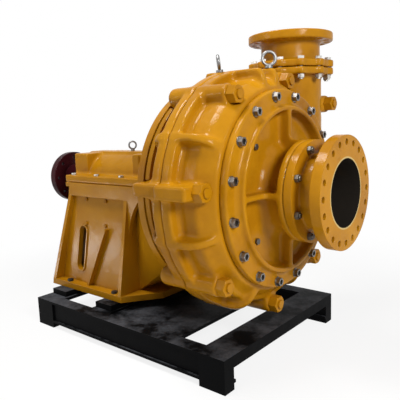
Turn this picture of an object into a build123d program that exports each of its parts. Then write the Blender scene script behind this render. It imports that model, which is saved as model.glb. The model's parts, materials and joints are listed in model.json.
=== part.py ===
from build123d import *
from math import acos, atan, cos, degrees, radians, sin, tan
import os

os.makedirs("parts", exist_ok=True)

# A metal-lined horizontal slurry pump on its transport skid, in millimetres.
# The shaft lies along X and +X points out of the suction flange, whose face centre is the origin.
# The discharge stands on the +Y side and rises along +Z.

# Suction and discharge flanges, nominal 350 and 300 mm in pressure class 300
SUCTION_BORE = 350.0
SUCTION_FLANGE = 585.0
SUCTION_HOLE_CIRCLE = 514.5
SUCTION_HOLES = 20
SUCTION_FLANGE_THICK = 54.0
DISCHARGE_BORE = 300.0
DISCHARGE_FLANGE = 521.0
DISCHARGE_HOLE_CIRCLE = 451.0
DISCHARGE_HOLES = 16
DISCHARGE_FLANGE_THICK = 51.0
PIPE_HOLE = 32.0

# Clearances: flat faces meet, rounds that slip together keep a fit, running parts keep a gap
FIT = 0.05
SLIP = 0.5
LINER_GAP = 1.0

# Suction spool and its joint to the cover
SPOOL_LENGTH = 205.0
SPOOL_WALL = 27.0
SPOOL_ROOT = 14.0
SPOOL_JOINT_FLANGE = 540.0
SPOOL_JOINT_THICK = 43.0
SPOOL_STUD_CIRCLE = 480.0
SPOOL_STUDS = 8
SPOOL_STUD = 24.0
GASKET = 3.0

# Suction cover: a bolted ring, a raised rim, a dish with four ribs, and the hub
COVER_EDGE = 35.0
COVER_HUB_HEIGHT = 142.0
COVER_RING_THICK = 43.0
COVER_RIM_HEIGHT = 39.0
COVER_RIM_WIDTH = 24.0
COVER_RIM_COVE = 27.0
COVER_DISH_DEPTH = 69.0
COVER_DISH_DRAFT = 14.0
COVER_HUB_THICK = 40.0
COVER_HUB_NECK = 420.0
COVER_HUB_COVE = 70.0
LINER_NECK_WALL = 14.0
LINER_NECK_SEAT = 20.0
COVER_SPIGOT_DEPTH = 38.0
COVER_RIBS = 4
COVER_RIB_THICK = 30.0
COVER_RIB_COVE = 25.0
RIB_ROOT = 8.0
COVER_STUD_CIRCLE = 1010.0
COVER_STUDS = 16
COVER_STUD = 27.0
COVER_STUD_TURN = 11.25
COVER_WASHER = 52.0
WASHER_THICK = 4.0
LINER_BOLT = 20.0
LINER_BOLT_HEAD = 30.0
LINER_BOLT_DEPTH = 34.0
JACK_HOLE = 12.0
JACK_HOLES = 8
JACK_HOLE_TURN = 20.0
JACK_HOLE_DEPTH = 18.0
SPOOL_NUT = 36.0
COVER_NUT = 41.0
STUD_SEAT = 6.0
STUD_SHY = 9.0

# Casing halves: a spiral of four arcs that grows by one step each quarter turn
SPIRAL_RADIUS = 641.0
SPIRAL_STEP = 22.0
FRONT_DEPTH = 257.0
REAR_DEPTH = 150.0
BAND_FRONT = 62.0
BAND_REAR = 62.0
CASING_WALL = 88.0
WALL_INSET = 58.0
WALL_ROUND = 30.0
WALL_TOP = 420.0
CAVITY_TOP = 470.0
NECK_STEP = 30.0
NUT_SEAT = 3.0
WALL_SETBACK = 16.0
SHOULDER_LEDGE = 16.0
REAR_LEDGE = 25.0
SHOULDER_DEPTH = 60.0
SHOULDER_FLARE = 42.0
NUT_POCKET = 104.0
RIB_END = 50.0
RIB_SETBACK = 8.0
CAVITY_FRONT = 168.0
CAVITY_REAR = 85.0
SPIGOT_LAND = 23.5
RIB_THICK = 42.0
RIB_PROUD = 5.0
RIB_ANGLES = (88.0, 100.0, 152.0, 198.0, 247.0, 294.0, 334.0)
TALL_RIBS = (88.0, 100.0)

# Discharge neck and its bolted joint
DISCHARGE_X = -600.0
DISCHARGE_Y = 505.0
DISCHARGE_TOP = 897.0
NECK_DIAMETER = 380.0
NECK_LINER_DIAMETER = 343.0
NECK_FOOT = 260.0
NECK_BORE_RISE = 60.0
SPOOL_NECK_DIAMETER = 364.0
JOINT_PLATE_DIAMETER = 496.0
JOINT_LOWER_THICK = 44.0
JOINT_UPPER_THICK = 42.0
JOINT_BOTTOM = 640.0
JOINT_BOLT_CIRCLE = 466.0
JOINT_BOLTS = 12
JOINT_BOLT = 24.0
JOINT_EAR = 34.0
JOINT_NUT = 36.0

# Tie studs that clamp the casing halves, each given as angle and radius about the shaft
TIE_PLACES = (
    (75.0, 612.0), (124.0, 613.0), (175.0, 624.0), (223.0, 643.0),
    (271.0, 672.0), (314.0, 690.0), (355.0, 700.0), (33.5, 852.0),
)
TIE_STUD = 48.0
TIE_BOSS = 110.0
TIE_NUT_WIDTH = 85.0
TIE_NUT_HEIGHT = 50.0
TIE_NUT_CORNERS = 60.0
TIE_END = 10.0
BOSS_FRONT = 200.0
BOSS_REAR = 183.0
BOSS_ROUND = 20.0
STUD_BOTTOM = 30.0
STUD_BOTTOM_GAP = 4.0
WEB_REACH = 120.0
LUG_PIN = 14.0
LUG_PIN_DEPTH = 25.0
LUG_PIN_REACH = 168.0
LUG_PIN_REACH_REAR = 95.0
LUG_INDEX = 2
LUG_HEIGHT = 72.0
LUG_OUTER = 690.0
LUG_INNER = 600.0
LUG_ROOT = 60.0

# Wet end: liners and impeller
CHANNEL_WIDTH = 190.0
CHANNEL_INSET = 126.0
PASSAGE_LAP = 30.0
IMPELLER_DIAMETER = 800.0
IMPELLER_EYE = 344.0
SHROUD_THICK = 24.0
VANES = 5
VANE_THICK = 28.0
IMPELLER_RUN = 6.0
EXPELLER_HEIGHT = 3.0
EXPELLER_WIDTH = 18.0
EXPELLER_INSET = 20.0
HUB_SHY = 45.0
THREAD_DEPTH = 110.0
IMPELLER_HUB = 230.0
REAR_LINER_THICK = 57.0
LINER_RELIEF = 10.0

# Adapter ring and the pedestal's round flange behind the rear casing
ADAPTER_DIAMETER = 1180.0
ADAPTER_THICK = 30.0
SLOT_DEPTH = 30.0
SLOT_WIDTH = 8.0
FLANGE_LIP = 5.0
ROUND_FLANGE_THICK = 44.0
FRAME_BORE = 600.0
FRAME_BOLT_CIRCLE = 1050.0
FRAME_BOLTS = 12
FRAME_BOLT = 30.0
FRAME_BOLT_HEAD = 46.0

# Stuffing box, packing and gland
SLEEVE_DIAMETER = 170.0
BOX_BORE = 224.0
BOX_BODY = 320.0
BOX_FLANGE = 590.0
BOX_SPIGOT = 478.0
BOX_THROAT = 35.0
PACKING_THICK = 20.0
PACKING_RINGS = 4
GLAND_NOSE = 25.0
GLAND_FLANGE = 310.0
GLAND_FLANGE_THICK = 22.0
GLAND_STUD_CIRCLE = 270.0
GLAND_STUD = 16.0
GLAND_TRAVEL = 45.0
GLAND_STUD_DEPTH = 45.0
GLAND_STUD_RELIEF = 5.0
GLAND_STUD_SPARE = 20.0
GLAND_NUT = 24.0

# Shaft and bearings
SEAT_DIAMETER = 140.0
SHAFT_BODY = 160.0
IMPELLER_THREAD = 120.0
COUPLING_SEAT = 120.0
BEARING_OUTER = 300.0
BEARING_WIDTH = 102.0
RACE_DEPTH = 22.0
ROLLERS = 16
ROLLER_DIAMETER = 35.2
ROLLER_LENGTH = 78.0
PUMP_BEARING_X = -1240.0
DRIVE_BEARING_X = -1885.0
SHAFT_END = -2292.0
COUPLING_DIAMETER = 380.0
COUPLING_THICK = 57.0
COUPLING_HUB = 190.0
COUPLING_HUB_LENGTH = 110.0
COUPLING_HOLES = 8
COUPLING_HOLE = 26.0
COUPLING_HOLE_CIRCLE = 300.0
KEY_WIDTH = 32.0
KEY_HEIGHT = 18.0

# Bearing housing: its lower half is cast in the pedestal
HOUSING_REAR = -1950.0
HOUSING_FRONT = -1120.0
HOUSING_WALL = 45.0
CHAMBER_RELIEF = 15.0
CAP_FLANGE_THICK = 50.0
CAP_BOLTS = 4
CAP_BOLT_STEP = 248.0
CAP_BOLT = 20.0
CAP_BOLT_Y = 262.0
END_COVER_THICK = 26.0
END_COVER_INSET = 9.0
END_COVER_SCREW = 16.0
END_COVER_SCREWS = 6
SEAL_WIDTH = 14.0
SEAL_DEPTH = 18.0
SEAL_COLLAR = 30.0
LOCK_NUT_THICK = 16.0
SLINGER_DIAMETER = 240.0
SLINGER_THICK = 12.0
SHAFT_COLLAR = 14.0
END_BLOCK = 146.0
PUMP_END_BLOCK = 225.0
BLOCK_PROUD = 10.0
BLOCK_SLOT_LENGTH = 78.0
BLOCK_SLOT_HEIGHT = 29.0
BLOCK_SLOT_DEPTH = 22.0
BLOCK_SLOT_X = -1274.0
BLOCK_SLOT_Z = 161.0
SPINE_WIDTH = 130.0
CAP_BOLT_MARGIN = 59.0
CAP_BOLT_DEPTH = 50.0
CAP_BOLT_RELIEF = 10.0
CAP_SETBACK = 5.0
CAP_BOLT_HEAD = 30.0

# Pedestal: side plates, end plates and the base
PEDESTAL_TOP_HALF = 300.0
PEDESTAL_BASE_HALF = 400.0
PEDESTAL_REAR_TOP = -1900.0
PEDESTAL_REAR_FOOT = -2045.0
PEDESTAL_FRONT = -1310.0
PEDESTAL_BOTTOM = -730.0
GUSSET_DROP = 368.0
GUSSET_REACH = 103.0
PANEL_RIB = ((-1512.0, -292.0), (-1685.0, -700.0))
PANEL_RIB_THICK = 14.0
SLOT_RIM = 12.0
SLOT_RIM_PROUD = 8.0
PLATE = 30.0
BASE_PLATE = 40.0
BEAM_DEPTH = 90.0
BEAM_RISE = 30.0
PANEL_INSET = 34.0
PANEL_LAP = 10.0
APRON_REACH = 160.0
APRON_HALF = 180.0
FUNNEL_WALL = 28.0
FUNNEL_BACK_HALF = 230.0
FUNNEL_MOUTH = 960.0
ARM_WIDTH = 54.0
ARM_ROOT = 20.0
BASE_WINDOW_MARGIN = 70.0
BASE_WINDOW_SIDE = 120.0
SIDE_SLOT_WIDTH = 72.0
SIDE_SLOT_HEIGHT = 310.0
SIDE_SLOT_X = -1786.0
SIDE_SLOT_Z = -452.0
PANEL_BOLT = 16.0
PANEL_BOLT_HEAD = 24.0
PANEL_BOLT_START = 41.0
PANEL_BOLT_LENGTH = 202.0
PANEL_BOLT_DROP = 103.0
PANEL_BOLT_HEIGHT = 165.0
FOOT_STATIONS = (-1870.0, -1400.0)
FOOT_BOLT = 24.0
FOOT_BOLT_HEAD = 36.0

# Skid: two channel rails on legs, with plates across, and the packing blocks on it
SKID_REAR = -1960.0
SKID_FRONT = -355.0
SKID_HALF = 585.0
SKID_TOP = -766.0
SKID_HEIGHT = 180.0
SKID_RAIL = 92.0
SKID_WEB = 14.0
SKID_FLANGE = 16.0
SKID_LEG = 165.0
SKID_LEG_WIDTH = 78.0
SKID_FOOT = 34.0
SKID_SET_BACK = 12.0
END_PLATE = 185.0
END_WEB = 14.0
END_WEB_HEIGHT = 64.0
DECK_THICK = 20.0
FOOT_PLATE = 170.0
TRAY_DROP = 14.0
TRAY_THICK = 12.0
TRAY_FRONT = -935.0
CROSS_FRONT = -718.0
BLOCK_LENGTH = 150.0
BLOCK_WIDTH = 180.0
BLOCK_OVERHANG = 70.0

# Eye bolts for lifting, and the vent on the bearing cap
LIFT_EYE_RING = 88.0
LIFT_EYE_BAR = 17.0
EYE_PLACES = ((88.0, -458.0, -50.0), (100.0, -690.0, 40.0))
EYE_COLLAR_HEIGHT = 12.0
EYE_COLLAR_RATIO = 0.45
HOUSING_EYE_X = -1557.0
HOUSING_EYE_RING = 62.0
HOUSING_EYE_BAR = 12.0
HOUSING_EYE_FACING = -30.0
VENT_X = -1260.0
VENT_STEM = 24.0
VENT_STEM_HEIGHT = 14.0
VENT_CAP = 40.0
VENT_CAP_HEIGHT = 18.0
PAD_RISE = 8.0
DRAIN_PAD = 52.0
DRAIN_PLUG = 30.0
DRAIN_PLUG_HEIGHT = 14.0

# Stations along the shaft, worked out from the sizes above
HUB_FRONT = -(SPOOL_LENGTH + GASKET)
COVER_FACE = HUB_FRONT - COVER_HUB_HEIGHT
CASING_FRONT = COVER_FACE - COVER_RING_THICK
COVER_DIAMETER = COVER_STUD_CIRCLE + 2 * COVER_EDGE
COVER_SPIGOT = COVER_STUD_CIRCLE - COVER_STUD - 2 * SPIGOT_LAND
FRONT_SHOULDER = COVER_DIAMETER + 2 * SHOULDER_LEDGE
REAR_SHOULDER = ADAPTER_DIAMETER - 2 * REAR_LEDGE
EYE_RING = COVER_SPIGOT + 4 * LINER_GAP
ROUND_FLANGE = ADAPTER_DIAMETER + 2 * FLANGE_LIP
ADAPTER_SPIGOT = ADAPTER_DIAMETER - 2 * SLOT_DEPTH
HOUSING_DIAMETER = BEARING_OUTER + 2 * HOUSING_WALL
CHAMBER_DIAMETER = BEARING_OUTER + 2 * CHAMBER_RELIEF
END_COVER_DIAMETER = HOUSING_DIAMETER - 2 * END_COVER_INSET
CASING_JOINT = CASING_FRONT - FRONT_DEPTH
CASING_REAR = CASING_JOINT - REAR_DEPTH
CAVITY_FRONT_X = CASING_JOINT + CAVITY_FRONT
CAVITY_REAR_X = CASING_JOINT - CAVITY_REAR
CHANNEL_FRONT = DISCHARGE_X + CHANNEL_WIDTH / 2
CHANNEL_REAR = DISCHARGE_X - CHANNEL_WIDTH / 2
SPIGOT_BACK = CASING_FRONT - COVER_SPIGOT_DEPTH
REAR_LINER_FRONT = CHANNEL_REAR - LINER_RELIEF
REAR_LINER_BACK = REAR_LINER_FRONT - REAR_LINER_THICK
ADAPTER_FRONT = CASING_REAR - SLOT_WIDTH
ADAPTER_REAR = ADAPTER_FRONT - ADAPTER_THICK
FLANGE_FRONT = ADAPTER_REAR - SLOT_WIDTH
FLANGE_REAR = FLANGE_FRONT - ROUND_FLANGE_THICK
BOX_FRONT = CASING_REAR - ADAPTER_THICK
PACKING_FRONT = BOX_FRONT - 7.0
PACKING_END = PACKING_FRONT - PACKING_THICK * (PACKING_RINGS + 1)
GLAND_FACE = PACKING_END - GLAND_NOSE
BOX_END = GLAND_FACE + 3.0
SPOOL_BORE_RADIUS = SUCTION_BORE / 2
NECK_Z = JOINT_BOTTOM + JOINT_LOWER_THICK
SPOOL_FOOT = NECK_Z + GASKET
SKID_BOTTOM = SKID_TOP - SKID_HEIGHT
NUT_RATIO = 0.87
HEAD_RATIO = 0.63
THREAD_END = 8.0


def round_disc(station, radius, bore=0.0):
    """A disc, or a ring where it has a bore, drawn square to the shaft."""
    with BuildSketch(Plane.YZ.offset(station)) as disc:
        Circle(radius)
        if bore:
            Circle(bore, mode=Mode.SUBTRACT)
    return disc.sketch


def polar(radius, angle):
    """A place about the shaft as (y, z), with the angle turned from +Y towards +Z."""
    return (radius * cos(radians(angle)), radius * sin(radians(angle)))


def radial_plane(angle):
    """The plane through the shaft's axis at an angle: X along the shaft, Y outwards."""
    return Plane((0, 0, 0), x_dir=(1, 0, 0), z_dir=(0, -sin(radians(angle)), cos(radians(angle))))


def volute_outline(station, inset, neck_half, top):
    """The spiral square to the shaft, running into the discharge neck and closed at a height."""
    half = SPIRAL_STEP / 2
    radii = [SPIRAL_RADIUS - inset + SPIRAL_STEP * quarter for quarter in range(4)]
    left = DISCHARGE_Y - neck_half
    start = degrees(acos((left + half) / radii[0]))
    with BuildSketch(Plane.YZ.offset(station)) as outline:
        with BuildLine():
            first = CenterArc((-half, half), radii[0], start, 90 - start)
            CenterArc((-half, -half), radii[1], 90, 90)
            CenterArc((half, -half), radii[2], 180, 90)
            last = CenterArc((half, half), radii[3], 270, 90)
            Polyline(last @ 1, (DISCHARGE_Y + neck_half, top), (left, top), first @ 0)
        make_face()
    return outline.sketch


def hexes(plane, places, across, bore=0.0):
    """Hexagons at places on a plane, each with its hole."""
    with BuildSketch(plane) as shapes:
        with Locations(*places):
            RegularPolygon(across / 2, 6, major_radius=False)
            if bore:
                Circle(bore / 2, mode=Mode.SUBTRACT)
    return shapes.sketch


def circles(plane, places, diameter):
    """Round places on a plane, for studs and holes."""
    with BuildSketch(plane) as shapes:
        with Locations(*places):
            Circle(diameter / 2)
    return shapes.sketch


def around(radius, count, turn=0.0):
    """Evenly spaced places on a circle about the shaft."""
    return [polar(radius, turn + 360 / count * index) for index in range(count)]


def finish(part, name):
    part.label = name
    export_step(part, f"parts/{name}.step")


# Places that several pieces share
spool_stud_places = around(SPOOL_STUD_CIRCLE / 2, SPOOL_STUDS, 180 / SPOOL_STUDS)
cover_stud_places = around(COVER_STUD_CIRCLE / 2, COVER_STUDS, COVER_STUD_TURN)
tie_places = [polar(radius, angle) for angle, radius in TIE_PLACES]
frame_bolt_places = around(FRAME_BOLT_CIRCLE / 2, FRAME_BOLTS, 10)
joint_bolt_places = [
    (DISCHARGE_X + y, DISCHARGE_Y + z)
    for y, z in around(JOINT_BOLT_CIRCLE / 2, JOINT_BOLTS, 180 / JOINT_BOLTS)
]

# Suction spool: the flat pipe flange, a short neck and the joint flange
neck_radius = SPOOL_BORE_RADIUS + SPOOL_WALL
with BuildPart() as suction_spool:
    extrude(round_disc(-SPOOL_LENGTH, SPOOL_JOINT_FLANGE / 2), amount=SPOOL_JOINT_THICK)
    extrude(round_disc(-SPOOL_LENGTH, neck_radius), amount=SPOOL_LENGTH)
    root = suction_spool.edges().filter_by(GeomType.CIRCLE).group_by(SortBy.RADIUS)[0].sort_by(Axis.X)[:1]
    fillet(root, SPOOL_ROOT)
    extrude(round_disc(0, SUCTION_FLANGE / 2), amount=-SUCTION_FLANGE_THICK)
    extrude(round_disc(0, SPOOL_BORE_RADIUS), amount=-SPOOL_LENGTH, mode=Mode.SUBTRACT)
    pipe_holes = around(SUCTION_HOLE_CIRCLE / 2, SUCTION_HOLES, 90)
    extrude(circles(Plane.YZ, pipe_holes, PIPE_HOLE), amount=-SUCTION_FLANGE_THICK, mode=Mode.SUBTRACT)
    extrude(circles(Plane.YZ.offset(-SPOOL_LENGTH), spool_stud_places, SPOOL_STUD + 2),
            amount=SPOOL_JOINT_THICK, mode=Mode.SUBTRACT)
finish(suction_spool.part, "suction_spool")

# Joint gasket between the spool and the cover, a little smaller than the flanges
with BuildPart() as suction_gasket:
    extrude(round_disc(-SPOOL_LENGTH, SPOOL_JOINT_FLANGE / 2 - 4, SPOOL_BORE_RADIUS), amount=-GASKET)
    extrude(circles(Plane.YZ.offset(-SPOOL_LENGTH), spool_stud_places, SPOOL_STUD + 2),
            amount=-GASKET, mode=Mode.SUBTRACT)
finish(suction_gasket.part, "suction_gasket")

# Suction cover, turned from its section, with the four ribs in the dish
hub_back = HUB_FRONT - COVER_HUB_THICK
rim_face = COVER_FACE + COVER_RIM_HEIGHT
dish_floor = rim_face - COVER_DISH_DEPTH
rim_foot = (COVER_STUD_CIRCLE - COVER_WASHER) / 2 - SLIP
rim_outer = rim_foot - COVER_RIM_COVE
rim_inner = rim_outer - COVER_RIM_WIDTH
liner_neck = SPOOL_BORE_RADIUS + LINER_NECK_WALL
liner_neck_end = hub_back - LINER_NECK_SEAT
hub_foot = COVER_HUB_NECK / 2 + COVER_HUB_COVE
liner_bolt_places = around((hub_foot + rim_inner - COVER_DISH_DRAFT) / 2, 4, 45)


def cove(station, barrel, radius):
    """A quarter round that fills the corner between a flat face and a barrel that stands on it."""
    short = radius * (1 - cos(radians(45)))
    return ThreePointArc((station, barrel + radius), (station + short, barrel + short), (station + radius, barrel))


with BuildPart() as suction_cover:
    with BuildSketch(Plane.XY):
        with BuildLine():
            Polyline(
                (COVER_FACE, rim_foot),
                (COVER_FACE, COVER_DIAMETER / 2),
                (CASING_FRONT, COVER_DIAMETER / 2),
                (CASING_FRONT, COVER_SPIGOT / 2),
                (SPIGOT_BACK, COVER_SPIGOT / 2),
                (SPIGOT_BACK, liner_neck + SLIP),
                (liner_neck_end, liner_neck + SLIP),
                (liner_neck_end, SPOOL_BORE_RADIUS),
                (HUB_FRONT, SPOOL_BORE_RADIUS),
                (HUB_FRONT, SPOOL_JOINT_FLANGE / 2),
                (hub_back, SPOOL_JOINT_FLANGE / 2),
                (hub_back, COVER_HUB_NECK / 2),
                (dish_floor + COVER_HUB_COVE, COVER_HUB_NECK / 2),
            )
            cove(dish_floor, COVER_HUB_NECK / 2, COVER_HUB_COVE)
            Polyline(
                (dish_floor, hub_foot),
                (dish_floor, rim_inner - COVER_DISH_DRAFT),
                (rim_face, rim_inner),
                (rim_face, rim_outer),
                (COVER_FACE + COVER_RIM_COVE, rim_outer),
            )
            cove(COVER_FACE, rim_outer, COVER_RIM_COVE)
        make_face()
    revolve(axis=Axis.X)
    rib_bend = SPOOL_JOINT_FLANGE / 2 - SLIP
    for quarter in range(COVER_RIBS):
        with BuildSketch(radial_plane(360 / COVER_RIBS * quarter)) as dish_rib:
            with BuildLine():
                cove(rim_face - SLIP, rib_bend, COVER_RIB_COVE)
                Polyline(
                    (rim_face - SLIP + COVER_RIB_COVE, rib_bend),
                    (hub_back, rib_bend),
                    (hub_back, COVER_HUB_NECK / 2 - RIB_ROOT),
                    (dish_floor - RIB_ROOT, COVER_HUB_NECK / 2 - RIB_ROOT),
                    (dish_floor - RIB_ROOT, rim_inner + RIB_ROOT),
                    (rim_face - SLIP, rim_inner + RIB_ROOT),
                    (rim_face - SLIP, rib_bend + COVER_RIB_COVE),
                )
            make_face()
        extrude(dish_rib.sketch, amount=COVER_RIB_THICK / 2, both=True)
    extrude(circles(Plane.YZ.offset(COVER_FACE), cover_stud_places, COVER_STUD + 2),
            amount=-COVER_RING_THICK, mode=Mode.SUBTRACT)
    extrude(circles(Plane.YZ.offset(HUB_FRONT), spool_stud_places, SPOOL_STUD + SLIP),
            amount=-COVER_HUB_THICK + STUD_SEAT - SLIP, mode=Mode.SUBTRACT)
    extrude(circles(Plane.YZ.offset(dish_floor), liner_bolt_places, LINER_BOLT + SLIP),
            amount=SPIGOT_BACK - dish_floor, mode=Mode.SUBTRACT)
    for index in range(JACK_HOLES):
        angle = JACK_HOLE_TURN + 360 / JACK_HOLES * index
        hole_plane = Plane(
            (HUB_FRONT - COVER_HUB_THICK / 2, *polar(SPOOL_JOINT_FLANGE / 2, angle)),
            z_dir=(0, *polar(-1, angle)),
        )
        with BuildSketch(hole_plane) as jack:
            Circle(JACK_HOLE / 2)
        extrude(jack.sketch, amount=JACK_HOLE_DEPTH, mode=Mode.SUBTRACT)
finish(suction_cover.part, "suction_cover")

# Studs and nuts that hold the spool to the cover's hub
nut_depth = SPOOL_STUD * NUT_RATIO
joint_back = -SPOOL_LENGTH + SPOOL_JOINT_THICK
with BuildPart() as spool_studs:
    extrude(circles(Plane.YZ.offset(hub_back + STUD_SEAT), spool_stud_places, SPOOL_STUD),
            amount=joint_back + nut_depth + THREAD_END - hub_back - STUD_SEAT)
finish(spool_studs.part, "spool_studs")
with BuildPart() as spool_nuts:
    extrude(hexes(Plane.YZ.offset(joint_back), spool_stud_places, SPOOL_NUT, SPOOL_STUD + 2 * FIT),
            amount=nut_depth)
finish(spool_nuts.part, "spool_nuts")

# Front casing half: the joint band, the rounded wall, the cover's shoulder, bosses and ribs
def boss_places(skip_lug):
    return [place for index, place in enumerate(tie_places) if not (skip_lug and index == LUG_INDEX)]


def casing_rib(angle, end, shoulder):
    """A radial rib over the band: from the joint it falls to the shoulder in an arc."""
    outer = spiral_radius(angle) + RIB_PROUD
    tall = angle in TALL_RIBS
    bend = CASING_JOINT + (end - CASING_JOINT) * (0.88 if tall else 0.45)
    middle = ((bend + end) / 2 + (end - bend) * 0.2, (outer + shoulder) / 2 + (outer - shoulder) * 0.2)
    with BuildSketch(radial_plane(angle)) as rib:
        with BuildLine():
            ThreePointArc((bend, outer), middle, (end, shoulder))
            Polyline((end, shoulder), (end, shoulder - RIB_END), (CASING_JOINT, shoulder - RIB_END),
                     (CASING_JOINT, outer), (bend, outer))
        make_face()
    return rib.sketch


def spiral_radius(angle):
    """The casing's radius at an angle, close to its four arcs."""
    return SPIRAL_RADIUS + SPIRAL_STEP * angle / 90 - SPIRAL_STEP / 2


def joint_plate(bottom, thick):
    """One half of the discharge joint: a disc with an ear for each bolt."""
    with BuildSketch(Plane.XY.offset(bottom)) as plate:
        with Locations((DISCHARGE_X, DISCHARGE_Y)):
            Circle(JOINT_PLATE_DIAMETER / 2)
        with Locations(*joint_bolt_places):
            Circle(JOINT_EAR)
            Circle(JOINT_BOLT / 2 + 1, mode=Mode.SUBTRACT)
    return plate.sketch


def lug_pin(reach, face):
    """A small round hole in an outer face of the side lug, at a reach from the casing's joint."""
    with BuildSketch(Plane((CASING_JOINT + reach, face, lug_z), z_dir=(0, 1, 0))) as pin:
        Circle(LUG_PIN / 2)
    return pin.sketch


neck_half = NECK_DIAMETER / 2
neck_bore_foot = NECK_FOOT + NECK_BORE_RISE
with BuildPart() as casing_neck:
    with BuildSketch(Plane.XY.offset(NECK_FOOT)):
        with Locations((DISCHARGE_X, DISCHARGE_Y)):
            Circle(neck_half)
    extrude(amount=JOINT_BOTTOM - NECK_FOOT)
    extrude(joint_plate(JOINT_BOTTOM, JOINT_LOWER_THICK), amount=JOINT_LOWER_THICK)
with BuildPart() as neck_bore:
    with BuildSketch(Plane.XY.offset(neck_bore_foot)):
        with Locations((DISCHARGE_X, DISCHARGE_Y)):
            Circle(NECK_LINER_DIAMETER / 2 + LINER_GAP)
    extrude(amount=NECK_Z - neck_bore_foot)

joint_plane = Plane.YZ.offset(CASING_JOINT)
boss_face = CASING_JOINT + BOSS_FRONT
shoulder_taper = degrees(atan(SHOULDER_FLARE / SHOULDER_DEPTH))
lug_y = -(LUG_OUTER + LUG_INNER) / 2
boss_back = CASING_JOINT - BOSS_REAR
lug_z = tie_places[LUG_INDEX][1]
web_y, web_z = tie_places[-1]
with BuildPart() as front_casing:
    front_wall = volute_outline(CASING_JOINT, WALL_INSET, neck_half - NECK_STEP, WALL_TOP)
    extrude(front_wall, amount=BOSS_FRONT - NUT_SEAT)
    fillet(front_casing.faces().sort_by(Axis.X)[-1].edges(), WALL_ROUND)
    extrude(volute_outline(CASING_JOINT, 0, neck_half, JOINT_BOTTOM), amount=BAND_FRONT)
    front_flare = FRONT_SHOULDER / 2 + SHOULDER_FLARE
    extrude(round_disc(CASING_JOINT, front_flare), amount=FRONT_DEPTH - SHOULDER_DEPTH)
    extrude(round_disc(CASING_FRONT - SHOULDER_DEPTH, front_flare), amount=SHOULDER_DEPTH, taper=shoulder_taper)
    add(split(casing_neck.part, bisect_by=joint_plane, keep=Keep.TOP, mode=Mode.PRIVATE))
    for angle in RIB_ANGLES:
        extrude(casing_rib(angle, CASING_FRONT - RIB_SETBACK, FRONT_SHOULDER / 2), amount=RIB_THICK / 2, both=True)
    extrude(circles(joint_plane, boss_places(True), TIE_BOSS), amount=BOSS_FRONT)
    with BuildSketch(joint_plane) as lug:
        with Locations((lug_y, lug_z)):
            Rectangle(LUG_OUTER - LUG_INNER + LUG_ROOT, LUG_HEIGHT)
    extrude(lug.sketch, amount=BOSS_FRONT)
    with BuildSketch(joint_plane) as web:
        with Locations((web_y - WEB_REACH / 2, web_z)):
            Rectangle(WEB_REACH, RIB_THICK * 2)
    extrude(web.sketch, amount=BAND_FRONT)
    extrude(volute_outline(CASING_JOINT, CASING_WALL, NECK_LINER_DIAMETER / 2 + LINER_GAP, CAVITY_TOP),
            amount=CAVITY_FRONT, mode=Mode.SUBTRACT)
    extrude(round_disc(CASING_FRONT, COVER_SPIGOT / 2 + LINER_GAP), amount=-FRONT_DEPTH, mode=Mode.SUBTRACT)
    add(neck_bore.part, mode=Mode.SUBTRACT)
    extrude(circles(Plane.YZ.offset(CASING_FRONT), cover_stud_places, COVER_STUD + SLIP),
            amount=-SHOULDER_DEPTH, mode=Mode.SUBTRACT)
    extrude(circles(joint_plane, tie_places, TIE_STUD + 2), amount=BOSS_FRONT, mode=Mode.SUBTRACT)
    extrude(circles(Plane.YZ.offset(boss_face), tie_places, NUT_POCKET), amount=SHOULDER_DEPTH, mode=Mode.SUBTRACT)
    extrude(lug_pin(LUG_PIN_REACH, -LUG_OUTER - LUG_ROOT / 2), amount=LUG_PIN_DEPTH, mode=Mode.SUBTRACT)
finish(front_casing.part, "front_casing")

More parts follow.
